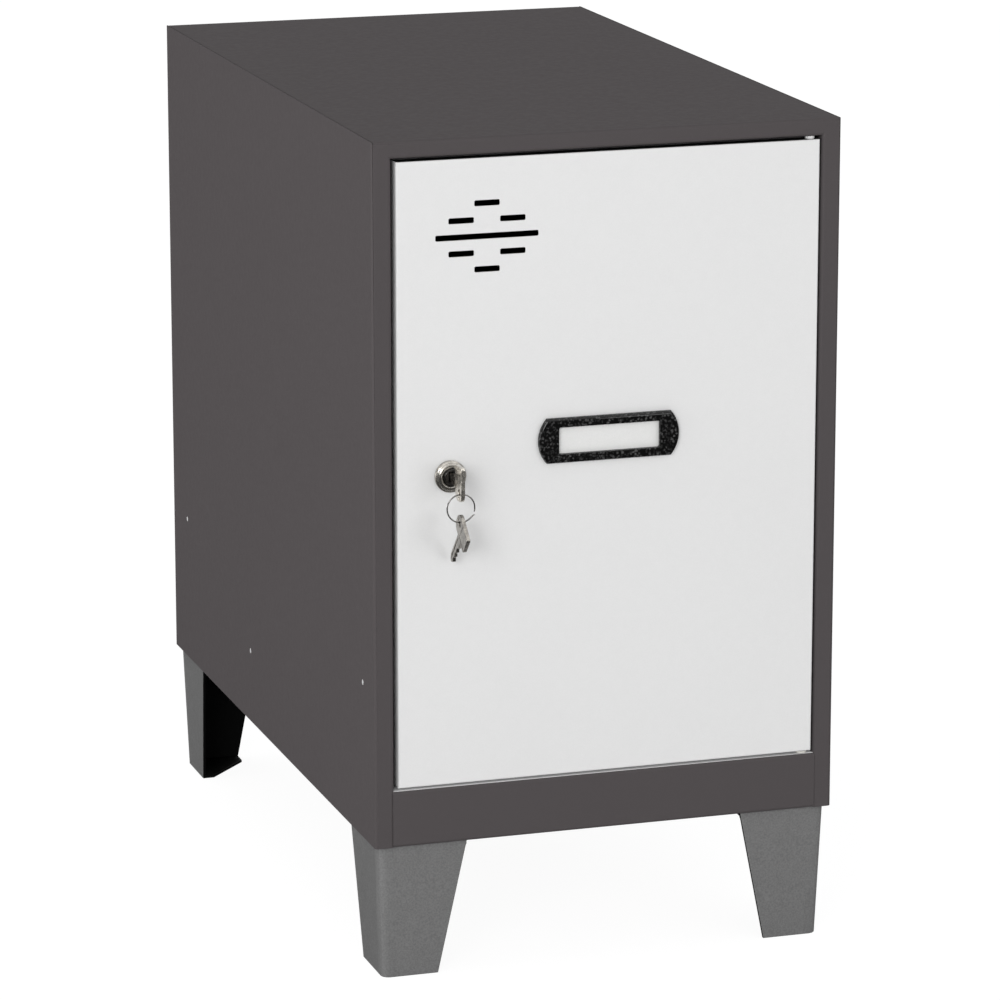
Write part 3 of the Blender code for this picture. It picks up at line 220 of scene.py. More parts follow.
def make_scratch_group():
    """Fine drawn or polished lines along one axis, with faint smudges."""
    tree, given, out = make_group(
        "polish",
        (
            ("Colour", "Color", (1, 1, 1, 1)),
            ("Stretch", "Vector", (1.0, 1.0, 1.0)),
            ("Tone", "Float", 0.1),
            ("Low Roughness", "Float", 0.2),
            ("High Roughness", "Float", 0.35),
        ),
        (("Colour", "Color"), ("Roughness", "Float"), ("Height", "Float")),
    )
    point = add(tree, "ShaderNodeTexCoord").outputs["Object"]
    drawn = add(tree, "ShaderNodeVectorMath", {0: point, 1: given["Stretch"]}, operation="MULTIPLY")
    lines = noise(tree, drawn.outputs[0], 1.0, 3.0, 0.6)
    smudge = noise(tree, point, 260.0, 3.0, 0.55)
    factor = calculated(tree, "MULTIPLY_ADD", spread(tree, smudge, 0.3, 0.7, -1.0, 1.0), given["Tone"], 1.0)
    colour = add(tree, "ShaderNodeVectorMath", {0: given["Colour"], 3: factor}, operation="SCALE").outputs[0]
    both = calculated(tree, "MULTIPLY_ADD", lines, 0.5, calculated(tree, "MULTIPLY", smudge, 0.5))
    rough = between(tree, spread(tree, both, 0.35, 0.65), given["Low Roughness"], given["High Roughness"])
    give(tree, out, Colour=colour, Roughness=rough, Height=lines)
    return tree


# Attribute for a finish's second colour: painted shade on the door and the legs, a pale sill top on the
# bottom rail.
MARK = "second_colour"
EDGE_RADIUS = 0.0008
EDGE_BREAKUP = 0.012
GRAIN = make_grain_group()
EDGE = make_edge_wear_and_highlight_group()
POLISH = make_scratch_group()


def screen(red, green, blue):
    """A screen colour of 0 to 255 as a linear colour."""
    values = []
    for value in (red, green, blue):
        share = value / 255
        values.append(share / 12.92 if share <= 0.04045 else ((share + 0.055) / 1.055) ** 2.4)
    return (*values, 1.0)


def new_material(name, metallic=0.0, specular=0.5, coat=0.0):
    material = bpy.data.materials.new(name)
    material.use_nodes = True
    shader = material.node_tree.nodes["Principled BSDF"]
    shader.inputs["Metallic"].default_value = metallic
    shader.inputs["Specular IOR Level"].default_value = specular
    shader.inputs["Coat Weight"].default_value = coat
    return material, material.node_tree, shader


def finish_with(tree, shader, colour, roughness, height, relief):
    tree.links.new(colour, shader.inputs["Base Color"])
    tree.links.new(roughness, shader.inputs["Roughness"])
    bump = add(tree, "ShaderNodeBump", {"Height": height, "Distance": relief, "Strength": 1.0})
    tree.links.new(bump.outputs[0], shader.inputs["Normal"])


def grained(
    name, colour, wear_and_highlight_colour, grain_size, tone, rough, relief, wear_and_highlight_share=0.5, mottle=0.5, marked=None, **settings
):
    """A paint or plastic with a fine relief and paler outer edges, partly wear and partly painted highlight,
    in another colour where marked.
    """
    material, tree, shader = new_material(name, **settings)
    values = {"Colour": colour, "Grain Size": grain_size, "Tone": tone, "Mottle": mottle}
    values.update({"Low Roughness": rough[0], "High Roughness": rough[1]})
    grain = add(tree, "ShaderNodeGroup", node_tree=GRAIN)
    for key, value in values.items():
        grain.inputs[key].default_value = value
    edges = add(tree, "ShaderNodeGroup", node_tree=EDGE)
    edges.inputs["Radius"].default_value = EDGE_RADIUS
    edges.inputs["Breakup Size"].default_value = EDGE_BREAKUP
    share = calculated(tree, "MULTIPLY", edges.outputs["Edge"], wear_and_highlight_share)
    shade = tinted(tree, share, grain.outputs["Colour"], wear_and_highlight_colour)
    # Where marked: painted shade on the door and the legs, a pale sill top on the bottom rail.
    if marked is not None:
        mask = add(tree, "ShaderNodeAttribute", attribute_name=MARK).outputs["Fac"]
        shade = tinted(tree, mask, shade, marked)
    finish_with(tree, shader, shade, grain.outputs["Roughness"], grain.outputs["Height"], relief)
    return material


def polished(name, colour, stretch, tone, rough, relief, metallic=1.0, **settings):
    """A bare or plated metal with fine lines and smudges."""
    material, tree, shader = new_material(name, metallic=metallic, **settings)
    values = {"Colour": colour, "Stretch": stretch, "Tone": tone}
    values.update({"Low Roughness": rough[0], "High Roughness": rough[1]})
    polish = add(tree, "ShaderNodeGroup", node_tree=POLISH)
    for key, value in values.items():
        polish.inputs[key].default_value = value
    sockets = polish.outputs
    finish_with(tree, shader, sockets["Colour"], sockets["Roughness"], sockets["Height"], relief)
    return material


def pebbled(name, low_colour, painted_highlight_colour, size, relief):
    """A moulded plastic with a pebbled skin under a shine, paler on top of the pebbles as a painted
    highlight.
    """
    material, tree, shader = new_material(name, specular=0.05, coat=0.55)
    shader.inputs["Coat Roughness"].default_value = 0.09
    shader.inputs["Coat IOR"].default_value = 1.6
    point = add(tree, "ShaderNodeTexCoord").outputs["Object"]
    bent = add(tree, "ShaderNodeTexNoise", {"Vector": point, "Scale": 0.6 / size, "Detail": 2.0}).outputs[1]
    moved = add(tree, "ShaderNodeVectorMath", {0: bent, 3: size * 1.4}, operation="SCALE").outputs[0]
    place = add(tree, "ShaderNodeVectorMath", {0: point, 1: moved}, operation="ADD").outputs[0]
    values = {"Vector": place, "Scale": 1 / size, "Smoothness": 0.35}
    cells = add(tree, "ShaderNodeTexVoronoi", values, feature="SMOOTH_F1").outputs["Distance"]
    height = spread(tree, cells, 0.6, 0.15)
    patches = spread(tree, noise(tree, point, 0.5 / size, 3.0, 0.6), 0.38, 0.62, 0.1, 1.0)
    # Pebble tops take the paler colour: painted highlight.
    share = calculated(tree, "MULTIPLY", height, patches)
    colour = tinted(tree, share, low_colour, painted_highlight_colour)
    finish_with(tree, shader, colour, spread(tree, height, 0.0, 1.0, 0.6, 0.34), height, relief)
    return material


# In the paints the paler edges are partly wear and partly painted edge highlight.
FINISHES = {
    "cabinet_paint": grained(
        "cabinet_powder_coat", screen(81, 77, 78), screen(86, 82, 83),
        0.0009, 0.018, (0.5, 0.6), 0.000004, wear_and_highlight_share=0.1, specular=0.04, marked=screen(228, 228, 228),
    ),
    # The door's second colour is near-black painted shade on the top of its upper flange, in the gap over
    # the door.
    "door_paint": grained(
        "door_powder_coat", screen(225, 225, 225), screen(236, 236, 236),
        0.0009, 0.015, (0.4, 0.5), 0.00001, specular=0.2, marked=screen(26, 26, 26),
    ),
    # The legs' second colour is near-black painted shade, full inside and on the foot plates, and a share of
    # it on the side flanges.
    "leg_paint": grained(
        "leg_textured_coat", screen(114, 114, 114), screen(130, 130, 130),
        0.0011, 0.2, (0.5, 0.62), 0.00005, wear_and_highlight_share=0.25, specular=0.12, mottle=0.2, marked=screen(9, 9, 9),
    ),
    "black_plastic": pebbled("pebbled_black_plastic", screen(0, 0, 0), screen(82, 82, 82), 0.0018, 0.0002),
    "card": grained(
        "card_stock", screen(226, 226, 225), screen(215, 213, 208),
        0.0006, 0.03, (0.75, 0.85), 0.00001, specular=0.2,
    ),
    "nickel": polished(
        "nickel_plate", screen(182, 178, 171), (900, 900, 5200), 0.24, (0.16, 0.3), 0.000004,
    ),
    "ring_steel": polished(
        "bright_wire", screen(150, 148, 146), (1500, 1500, 1500), 0.08, (0.12, 0.25), 0.000003,
    ),
    "zinc": polished(
        "zinc_plate", screen(186, 188, 190), (700, 700, 700), 0.14, (0.28, 0.5), 0.000006,
    ),
    "rubber": grained(
        "black_rubber", screen(24, 24, 24), screen(52, 52, 52),
        0.0008, 0.2, (0.75, 0.9), 0.00004, specular=0.25,
    ),
    "nylon": grained(
        "natural_nylon", screen(222, 220, 212), screen(235, 233, 228),
        0.001, 0.04, (0.4, 0.5), 0.00001, specular=0.4,
    ),
}
# Pale metal for the rivet ends and the upper hinge pin, brightened past bare zinc as a painted glint.
PALE_METAL_PAINTED_GLINT = polished(
    "bright_rivet", screen(228, 228, 228), (900, 900, 900), 0.05, (0.35, 0.5), 0.000004, metallic=0.25,
)
# Copies of the nickel, lighter on the lock key and darker on the spare: painted light and painted shade.
KEY_FINISHES = {
    "lock_key": polished(
        "key_nickel", screen(214, 209, 200), (900, 900, 5200), 0.24, (0.16, 0.3), 0.000004,
    ),
    "spare_key": polished(
        "spare_key_nickel_painted_darker", screen(160, 156, 150), (900, 900, 5200), 0.3, (0.16, 0.3), 0.000004,
    ),
}
# A darker copy of the nickel for the lock's sunk core: painted shade of its recess.
CORE_NICKEL_PAINTED_SHADE = polished("core_nickel_painted_shade", screen(92, 90, 88), (900, 900, 900), 0.12, (0.22, 0.4), 0.000004)


SLOT_OF = {part["node"]: part["material_slot"] for part in frame["record"]["subparts"]}
BODY_OF = {
    node: body
    for body, members in frame["record"]["behaviour"]["bodies"].items()
    for node in members
}


# Making a piece. Shapes are drawn in millimetres about their own middle, then set in place.

MM = 0.001
SMOOTH_ANGLE = math.radians(38)
MERGE = 0.000001
FLAT_SHARE = 0.0006
LEVEL_ANGLE = math.radians(0.1)
CREASE = math.radians(50)
ONE_FACE = math.radians(0.5)
TURN_UP = Matrix.Rotation(math.pi / 2, 4, "X")
TURN_RIGHT = Matrix.Rotation(-math.pi / 2, 4, "Z")
TURN_LEFT = Matrix.Rotation(math.pi / 2, 4, "Z")


def set_down(bm, place, turn=None):
    """Takes a shape drawn in millimetres to its place, with its Y axis turned another way."""
    if turn is not None:
        bm.transform(turn)
    bm.transform(Matrix.Translation(place) @ Matrix.Scale(MM, 4))
    return bm


def broad_faces(bm, flat_share):
    """Faces that are wide for their outline, and the narrow ones that lie level with them."""
    broad = {face for face in bm.faces if face.calc_area() >= flat_share * face.calc_perimeter()}
    waiting = list(broad) if flat_share == FLAT_SHARE else []
    while waiting:
        for edge in waiting.pop().edges:
            if len(edge.link_faces) != 2 or edge.calc_face_angle() > LEVEL_ANGLE:
                continue
            found = set(edge.link_faces) - broad
            broad |= found
            waiting += found
    return broad


def finish_piece(bm, name, *nodes, recalculate=True, flat_share=FLAT_SHARE, finish=None):
    """The shape as an object that stands for CAD nodes, with their body and finish."""
    if recalculate:
        bmesh.ops.remove_doubles(bm, verts=bm.verts, dist=MERGE)
        bmesh.ops.recalc_face_normals(bm, faces=bm.faces)
    broad = broad_faces(bm, flat_share)
    soft = [face not in broad for face in bm.faces]
    mesh = bpy.data.meshes.new(name)
    bm.to_mesh(mesh)
    bm.free()
    kept_normals = mesh.attributes.get("custom_normal")
    if kept_normals is not None:
        mesh.attributes.remove(kept_normals)
    mesh.set_sharp_from_angle(angle=SMOOTH_ANGLE)
    mesh.polygons.foreach_set("use_smooth", soft)
    slot = SLOT_OF[nodes[0]]
    mesh.materials.append(finish or FINISHES[slot])
    piece = bpy.data.objects.new(name, mesh)
    bpy.context.scene.collection.objects.link(piece)
    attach(piece, BODY_OF[nodes[0]])
    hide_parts(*nodes)


def joined(*shapes):
    """Several shapes as one."""
    whole = bmesh.new()
    for shape in shapes:
        mesh = bpy.data.meshes.new("part")
        shape.to_mesh(mesh)
        shape.free()
        whole.from_mesh(mesh)
        bpy.data.meshes.remove(mesh)
    return whole


def sharp_edges(bm):
    return [edge for edge in bm.edges if len(edge.link_faces) == 2 and edge.calc_face_angle() > CREASE]


def ease(bm, edges, width, segments=2):
    """Rounds edges of a shape."""
    bmesh.ops.bevel(
        bm, geom=edges, offset=width, segments=segments, profile=0.5, affect="EDGES", material=-1,
        clamp_overlap=False,
    )
    return bm


def cut_across(bm, point, normal):
    """Divides the faces of a shape along a plane."""
    geometry = bm.verts[:] + bm.edges[:] + bm.faces[:]
    bmesh.ops.bisect_plane(bm, geom=geometry, dist=MERGE, plane_co=point, plane_no=normal)


def mark(bm, test):
    """Gives the faces that pass a test the second colour of their finish."""
    bm.normal_update()
    layer = bm.faces.layers.float.new(MARK)
    for face in bm.faces:
        face[layer] = float(test(face.normal, face.calc_center_median()))


def copy_of(node):
    """A CAD node's mesh with its triangles merged into faces."""
    bm = bmesh.new()
    bm.from_mesh(NODES[node].data)
    bmesh.ops.remove_doubles(bm, verts=bm.verts, dist=MERGE)
    bmesh.ops.dissolve_limit(bm, angle_limit=ONE_FACE, verts=bm.verts, edges=bm.edges)
    return bm


def spun(profile, steps):
    """A shape turned about Y from (radius, place) points; a profile clear of its axis makes a ring."""
    bm = bmesh.new()
    verts = [bm.verts.new((0, along, radius)) for radius, along in profile]
    pairs = list(zip(verts, verts[1:]))
    if min(radius for radius, _ in profile) > 0:
        pairs.append((verts[-1], verts[0]))
    edges = [bm.edges.new(pair) for pair in pairs]
    bmesh.ops.spin(
        bm, geom=verts + edges, cent=(0, 0, 0), axis=(0, 1, 0), angle=2 * math.pi, steps=steps,
        use_merge=True,
    )
    bmesh.ops.remove_doubles(bm, verts=bm.verts, dist=MERGE / MM)
    bmesh.ops.recalc_face_normals(bm, faces=bm.faces)
    return bm


def plate(loops, start, end):
    """A plate across Y from outlines in (X, Z), the first its edge and the rest its holes."""
    bm = bmesh.new()
    for loop in loops:
        verts = [bm.verts.new((across, start, rise)) for across, rise in loop]
        for first, second in zip(verts, verts[1:] + verts[:1]):
            bm.edges.new((first, second))
    bmesh.ops.triangle_fill(bm, use_beauty=True, edges=bm.edges)
    bmesh.ops.dissolve_limit(bm, angle_limit=ONE_FACE, verts=bm.verts, edges=bm.edges)
    made = bmesh.ops.extrude_face_region(bm, geom=bm.faces[:])
    moved = [item for item in made["geom"] if isinstance(item, bmesh.types.BMVert)]
    bmesh.ops.translate(bm, verts=moved, vec=(0, end - start, 0))
    bmesh.ops.recalc_face_normals(bm, faces=bm.faces)
    return bm


def arc(centre, radius, start, end, steps):
    """Points of an arc, by angles in degrees."""
    points = []
    for step in range(steps + 1):
        turn = math.radians(start + (end - start) * step / steps)
        points.append((centre[0] + radius * math.cos(turn), centre[1] + radius * math.sin(turn)))
    return points


def ring_of(radius, steps):
    return arc((0, 0), radius, 0, 360, steps)[:-1]


def rounded_box(half_width, half_height, radius, steps=5):
    points = arc((half_width - radius, radius - half_height), radius, -90, 0, steps)
    points += arc((half_width - radius, half_height - radius), radius, 0, 90, steps)
    points += arc((radius - half_width, half_height - radius), radius, 90, 180, steps)
    points += arc((radius - half_width, radius - half_height), radius, 180, 270, steps)
    return points


def thread(crest, root, pitch, start, end):
    """Outline points of a screw thread along an axis."""
    points, along = [], start
    while along + pitch <= end:
        points += [(root, along + 0.05 * pitch), (crest, along + 0.4 * pitch), (crest, along + 0.55 * pitch)]
        points.append((root, along + 0.9 * pitch))
        along += pitch
    return points


def hexagon_nut(flats, bore, start, end, ease_by=0.4):
    """A nut with eased corners round a threaded bore."""
    corner = flats / math.sqrt(3)
    bm = plate((ring_of(corner, 6), ring_of(bore, 36)), start, end)
    return ease(bm, sharp_edges(bm), ease_by, 3)


# Sheets of the cabinet and the door, with their cut edges eased

SHEET_EASE = 0.00022
LEG_EASE = 0.0004
LEG_FLAT_SHARE = 0.0032
LEG_STRIP = 0.009
LEG_FOOT = 0.004
LEG_SIDE_PAINTED_SHADE = 0.2
DOOR_TOP = 0.0003
DOOR_SHADE_DEPTH = 0.009
TOP_SEAM = 0.0006
TOP_REACH = 0.0003
TOP_BEND = 0.0015
UNDER_TOP = (0.0011, 0.0009)
SEAM_CUT = 0.129
STILE_EDGE = 0.137
SEAM_END = 0.1405
SIDE_SEAM = 0.1489
RAIL_ENDS = (0.13, 0.139)
FRONT_SHEET = 0.0011
AT_FRONT = 0.0003
TOP_RAIL_REACH = 0.0022
BOTTOM_RAIL_REACH = 0.0011
RAIL_PROUD = 0.00004


def make_sheets():
    """Thin pieces that keep their shape, with their edges eased."""
    thin = (
        "left_side_panel", "right_side_panel", "back_panel", "floor_panel", "strike_post",
        "hinge_post", "door_stiffener", "upper_hinge_bracket", "lower_hinge_bracket",
        "label_card", "lock_cam", "lower_hinge_pin",
    )
    for node in thin:
        bm = copy_of(node)
        ease(bm, sharp_edges(bm), SHEET_EASE)
        finish_piece(bm, node + "_fine", node, recalculate=False)


def make_door():
    """Door pan, with painted shade on the top of its upper flange, so that the gap over the door stays dark.
    """
    bm = copy_of("door_panel")
    ease(bm, sharp_edges(bm), SHEET_EASE)
    top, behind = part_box("door_panel")[1].z, FACE + DOOR_SHADE_DEPTH
    cut_across(bm, (0, behind, 0), (0, 1, 0))
    # Painted shade: the front part of the upper flange's top, in the gap over the door, takes the near-black
    # second colour.
    mark(bm, lambda normal, spot: normal.z > 0.5 and spot.z > top - DOOR_TOP and spot.y < behind)
    finish_piece(bm, "door_panel_fine", "door_panel", recalculate=False)


def close_rail(bm, low, high, reach):
    """Brings the ends of a rail's front up to the stiles, over the bend of their edges."""
    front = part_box("left_side_panel")[0].y
    for vert in bm.verts:
        in_front = vert.co.y < front + FRONT_SHEET and low - MERGE < vert.co.z < high + MERGE
        if in_front and RAIL_ENDS[0] < abs(vert.co.x) < RAIL_ENDS[1]:
            vert.co.x += math.copysign(reach, vert.co.x)
        if in_front and vert.co.y < front + MERGE:
            vert.co.y -= RAIL_PROUD


def close_top(bm, low, high):
    """Brings the top plate out to the sides, and down over the ends of the stiles."""
    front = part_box("left_side_panel")[0].y
    for vert in bm.verts:
        at_side = min(vert.co.x - low.x, high.x - vert.co.x) < MERGE
        over_stile = abs(vert.co.x) > STILE_EDGE
        at_bend = over_stile and high.z - UNDER_TOP[0] < vert.co.z < high.z - UNDER_TOP[1]
        if at_side:
            vert.co.x += math.copysign(TOP_REACH, vert.co.x)
        if at_bend and vert.co.y < front + AT_FRONT:
            vert.co.y = front
        if at_bend or (at_side and vert.co.z < high.z - UNDER_TOP[1]):
            vert.co.z -= TOP_SEAM


def seam_free_edges(bm):
    """Sharp edges of a sheet but those where it meets its neighbour in one flush face."""
    found = []
    for edge in sharp_edges(bm):
        level = abs(edge.verts[0].co.z - edge.verts[1].co.z) < MERGE
        across = min(abs(vert.co.x) for vert in edge.verts)
        if across < SIDE_SEAM and (level or not STILE_EDGE < across < SEAM_END):
            found.append(edge)
    return found


def make_front_sheets():
    """Top plate and bottom rail, closed up to the sides so that the welded seams hardly show."""
    low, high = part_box("top_panel")
    bm = copy_of("top_panel")
    for side in (-1, 1):
        cut_across(bm, (side * SEAM_CUT, 0, 0), (1, 0, 0))
    close_rail(bm, low.z, high.z - TOP_BEND, TOP_RAIL_REACH)
    close_top(bm, low, high)
    ease(bm, seam_free_edges(bm), SHEET_EASE)
    finish_piece(bm, "top_panel_fine", "top_panel", recalculate=False)

    low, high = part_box("bottom_rail")
    bm = copy_of("bottom_rail")
    close_rail(bm, low.z, high.z, BOTTOM_RAIL_REACH)
    ease(bm, seam_free_edges(bm), SHEET_EASE)
    mark(bm, lambda normal, spot: normal.z > 0.9 and spot.z > high.z - SHEET_EASE)
    finish_piece(bm, "bottom_rail_fine", "bottom_rail", recalculate=False)


def leg_painted_shade(normal, spot, side, front):
    """How much painted shade a leg's face takes: black inside and on the foot plate, where shade falls, and
    a little darker at the side.
    """
    inside = min(normal.x * side, normal.y * front) < -0.5
    if inside or (normal.z > 0.5 and spot.z < LEG_FOOT):
        return 1
    if normal.x * side > 0.95:
        return LEG_SIDE_PAINTED_SHADE if abs(spot.y) > LEG_STRIP else LEG_SIDE_PAINTED_SHADE / 2
    return 0


def make_legs():
    """Legs with a soft bend between their flanges."""
    for node in NODES:
        if not node.startswith("leg_") or "bolt" in node or "nut" in node:
            continue
        bm = copy_of(node)
        low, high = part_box(node)
        side = -1 if low.x < 0 else 1
        front = -1 if low.y < 0 else 1
        lean = 0.003 / (high.z - low.z)
        corner_x = low.x if side < 0 else high.x
        corner_y = low.y if front < 0 else high.y
        ease(bm, sharp_edges(bm), LEG_EASE, 3)
        across = (corner_x - side * LEG_STRIP, 0, high.z)
        cut_across(bm, across, Vector((1, 0, -side * lean)).normalized())
        back = (0, corner_y - front * LEG_STRIP, high.z)
        cut_across(bm, back, Vector((0, 1, -front * lean)).normalized())
        # Painted shade on the leg's faces, by the way they face.
        mark(bm, lambda normal, spot: leg_painted_shade(normal, spot - Vector((0, corner_y, low.z)), side, front))
        finish_piece(bm, node + "_fine", node, recalculate=False, flat_share=LEG_FLAT_SHARE)


# Fasteners

def make_rivets():
    """Rivet ends sunk in the sides, slightly domed, each with its peened tail inside."""
    for node in [name for name in NODES if name.endswith("_rivet")]:
        low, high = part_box(node)
        left = low.x < 0
        place = (low + high) / 2
        place.x = low.x if left else high.x
        depth = (high.x - low.x) / MM
        profile = (
            (0, 0), (1.0, 0.02), (1.6, 0.1), (1.8, 0.25), (1.3, 1.05), (1.3, depth - 1), (1.9, depth - 1),
            (2.1, depth - 0.8), (2.1, depth - 0.4), (1.7, depth - 0.1), (0.8, depth), (0, depth),
        )
        bm = set_down(spun(profile, 32), place, TURN_RIGHT if left else TURN_LEFT)
        # Rivet ends in pale metal brightened as a painted glint.
        finish_piece(bm, node + "_fine", node, finish=PALE_METAL_PAINTED_GLINT)


def make_leg_bolts():
    """Hexagon bolts up through the legs, with washer faces and threads, and their nuts."""
    for node in [name for name in NODES if name.startswith("leg_bolt_")]:
        low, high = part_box(node)
        place = (low + high) / 2
        place.z = low.z
        length = (high.z - low.z) / MM
        head = plate((ring_of(10 / math.sqrt(3), 6),), 0, 3.7)
        ease(head, sharp_edges(head), 0.35, 3)
        profile = [(0, 3.5), (4.6, 3.5), (4.6, 4), (3, 4), (3, 5.5)]
        profile += thread(3, 2.6, 1, 5.5, length - 0.6) + [(2.5, length - 0.5), (2.1, length), (0, length)]
        bm = set_down(joined(head, spun(profile, 24)), place, TURN_UP)
        finish_piece(bm, node + "_fine", node)
    for node in [name for name in NODES if name.startswith("leg_nut_")]:
        low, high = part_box(node)
        place = (low + high) / 2
        place.z = low.z
        bm = set_down(hexagon_nut(10, 3.1, 0, (high.z - low.z) / MM), place, TURN_UP)
        finish_piece(bm, node + "_fine", node)


def make_upper_pin():
    """Upper hinge pin with the bush that fills the gap over the door, in pale metal brightened as a painted
    glint.
    """
    pin = copy_of("upper_hinge_pin")
    ease(pin, sharp_edges(pin), SHEET_EASE)
    place = middle("upper_hinge_pin")
    place.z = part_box("door_panel")[1].z
    profile = (
        (1.9, 0.2), (2.1, 0.05), (2.8, 0.05), (3.0, 0.25), (3.0, 1.75), (2.8, 1.95), (2.1, 1.95), (1.9, 1.8),
    )
    bush = set_down(spun(profile, 40), place, TURN_UP)
    bm = joined(pin, bush)
    finish_piece(bm, "upper_hinge_pin_fine", "upper_hinge_pin", recalculate=False, finish=PALE_METAL_PAINTED_GLINT)


def make_buffers():
    """Domed rubber buttons with a barb behind the post, and the nylon washer of the hinge."""
    profile = (
        (0, 0), (1.8, 0.05), (2.8, 0.3), (3.35, 0.8), (3.5, 1.5), (3.5, 3.6), (3.3, 3.9), (1.5, 3.9),
        (1.5, 5.2), (2.1, 5.4), (1.9, 6.1), (1.3, 6.8), (0.9, 7), (0, 7),
    )
    for node in ("upper_door_buffer", "lower_door_buffer"):
        place = middle(node)
        place.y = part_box(node)[0].y
        finish_piece(set_down(spun(profile, 40), place), node + "_fine", node)
    low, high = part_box("hinge_washer")
    place = (low + high) / 2
    place.z = low.z
    height = (high.z - low.z) / MM
    profile = (
        (2.05, 0.1), (2.15, 0), (3.3, 0), (3.4, 0.12), (3.4, height - 0.12), (3.3, height),
        (2.15, height), (2.05, height - 0.1),
    )
    finish_piece(set_down(spun(profile, 40), place, TURN_UP), "hinge_washer_fine", "hinge_washer")


# Label holder

def make_label_holder():
    """Black frame with bowed ends, a rounded rim round its face and pegs through the door."""
    half_flat, half_length, half_height = 40, 45.4, 14.05
    half_window, half_rise, face = 32.55, 8.3, -3.4
    rim_ease, window_ease, peg_place = 1.9, 0.5, 37.5
    bulge = half_length - half_flat
    radius = (bulge ** 2 + half_height ** 2) / (2 * bulge)
    half_angle = math.degrees(math.asin(half_height / radius))
    centre = half_length - radius
    outline = arc((centre, 0), radius, -half_angle, half_angle, 24)
    outline += arc((-centre, 0), radius, 180 - half_angle, 180 + half_angle, 24)
    window = rounded_box(half_window, half_rise, 1.1)
    bm = plate((outline, window), face, -0.3)

    def front_edges(inside):
        found = []
        for edge in sharp_edges(bm):
            points = [vert.co for vert in edge.verts]
            in_front = all(point.y < face + 0.01 for point in points)
            within = all(
                abs(point.x) < half_window + 0.05 and abs(point.z) < half_rise + 0.1 for point in points
            )
            if in_front and within == inside:
                found.append(edge)
        return found

    ease(bm, front_edges(False), rim_ease, 6)
    ease(bm, front_edges(True), window_ease, 3)
    pegs = []
    for side in (-1, 1):
        peg = spun(((0, -1), (1.5, -1), (1.5, 3.3), (1.3, 3.8), (0.7, 4), (0, 4)), 24)
        bmesh.ops.translate(peg, verts=peg.verts, vec=(peg_place * side, 0, 0))
        pegs.append(peg)
    finish_piece(set_down(joined(bm, *pegs), HOLDER), "label_holder_fine", "label_holder")


# Lock

def make_lock():
    """Stepped collar with its threaded barrel, the hollow core, and the nut behind the door."""
    profile = [
        (9.9, -0.3), (9.9, -1.9), (9.82, -2.2), (9.6, -2.42), (8.75, -2.95), (8.6, -2.9), (8.45, -3.1),
        (7.4, -3.7), (7.2, -3.75), (7.05, -3.6), (7.0, -3.2), (6.8, -3.2), (6.75, -4.35), (6.6, -4.55),
        (6.35, -4.6), (6.05, -4.5), (5.85, -4.2), (5.7, -3.7), (5.7, 20), (7.3, 20),
    ]
    profile += reversed(thread(8, 7.5, 1, 1.5, 19.5))
    profile += [(8, 1.2), (8, -0.3)]
    finish_piece(set_down(spun(profile, 64), LOCK), "lock_barrel_fine", "lock_barrel")

    rim = spun(
        (
            (5.4, -4.0), (5.3, -4.22), (5.1, -4.3), (4.85, -4.3), (4.7, -4.15), (4.6, -3.2), (4.6, 12),
            (5.4, 12),
        ),
        64,
    )
    slot = rounded_box(1.45, 3.5, 0.3, 3)
    core = plate((ring_of(4.65, 64), slot), -3.2, 10.8)
    near_front = [edge for edge in sharp_edges(core) if all(vert.co.y < -3.1 for vert in edge.verts)]
    ease(core, near_front, 0.2, 2)
    step = spun(((3.95, -3.1), (3.95, -3.42), (4.05, -3.5), (4.2, -3.42), (4.25, -3.1)), 64)
    rear = spun(((0, 10.5), (5.1, 10.5), (5.4, 11), (5.4, 20.8), (5.2, 21), (0, 21)), 64)
    tail = plate((rounded_box(3, 3, 0.3, 3), ring_of(1.7, 24)), 20.8, 23.3)
    ease(tail, [edge for edge in sharp_edges(tail) if all(vert.co.y > 23 for vert in edge.verts)], 0.2, 2)
    # The sunk core takes the darker nickel: painted shade.
    bm = set_down(joined(rim, core, step, rear, tail), LOCK)
    finish_piece(bm, "lock_plug_fine", "lock_plug", finish=CORE_NICKEL_PAINTED_SHADE)

    nut = set_down(hexagon_nut(21, 8.15, 1.3, 4.8, 0.5), LOCK)
    finish_piece(nut, "lock_nut_fine", "lock_nut")


def make_cam_fastening():
    """Washer and cross-slotted screw that hold the cam."""
    profile = ((1.8, 23.7), (1.9, 23.6), (5.35, 23.6), (5.5, 23.75), (5.5, 24.25), (5.35, 24.4), (1.9, 24.4))
    finish_piece(set_down(spun(profile, 48), LOCK), "cam_washer_fine", "cam_washer")

    profile = (
        (1.9, 24.9), (3.2, 24.7), (3.4, 24.95), (3.35, 25.8), (2.9, 26.5), (2.0, 26.85), (1.9, 26.8),
    )
    ring = spun(profile, 40)
    arm, half = 1.5, 0.32
    cross = [
        (half, half), (arm, half), (arm, -half), (half, -half), (half, -arm), (-half, -arm), (-half, -half),
        (-arm, -half), (-arm, half), (-half, half), (-half, arm), (half, arm),
    ]
    face = plate((ring_of(1.95, 40), cross), 25.6, 26.82)
    ease(face, [edge for edge in sharp_edges(face) if all(vert.co.y > 26.8 for vert in edge.verts)], 0.1, 2)
    base = spun(((0, 24.8), (2.2, 24.8), (2.2, 25.7), (0, 25.7)), 40)
    shank = spun([(0, 16.6), (1.1, 16.6)] + thread(1.5, 1.25, 0.5, 17, 24.6) + [(1.5, 24.9), (0, 24.9)], 24)
    bm = set_down(joined(ring, face, base, shank), LOCK)
    finish_piece(bm, "cam_screw_fine", "cam_screw")


# Keys and ring. A key is drawn with its blade along X and its small eye at the origin, then turned.

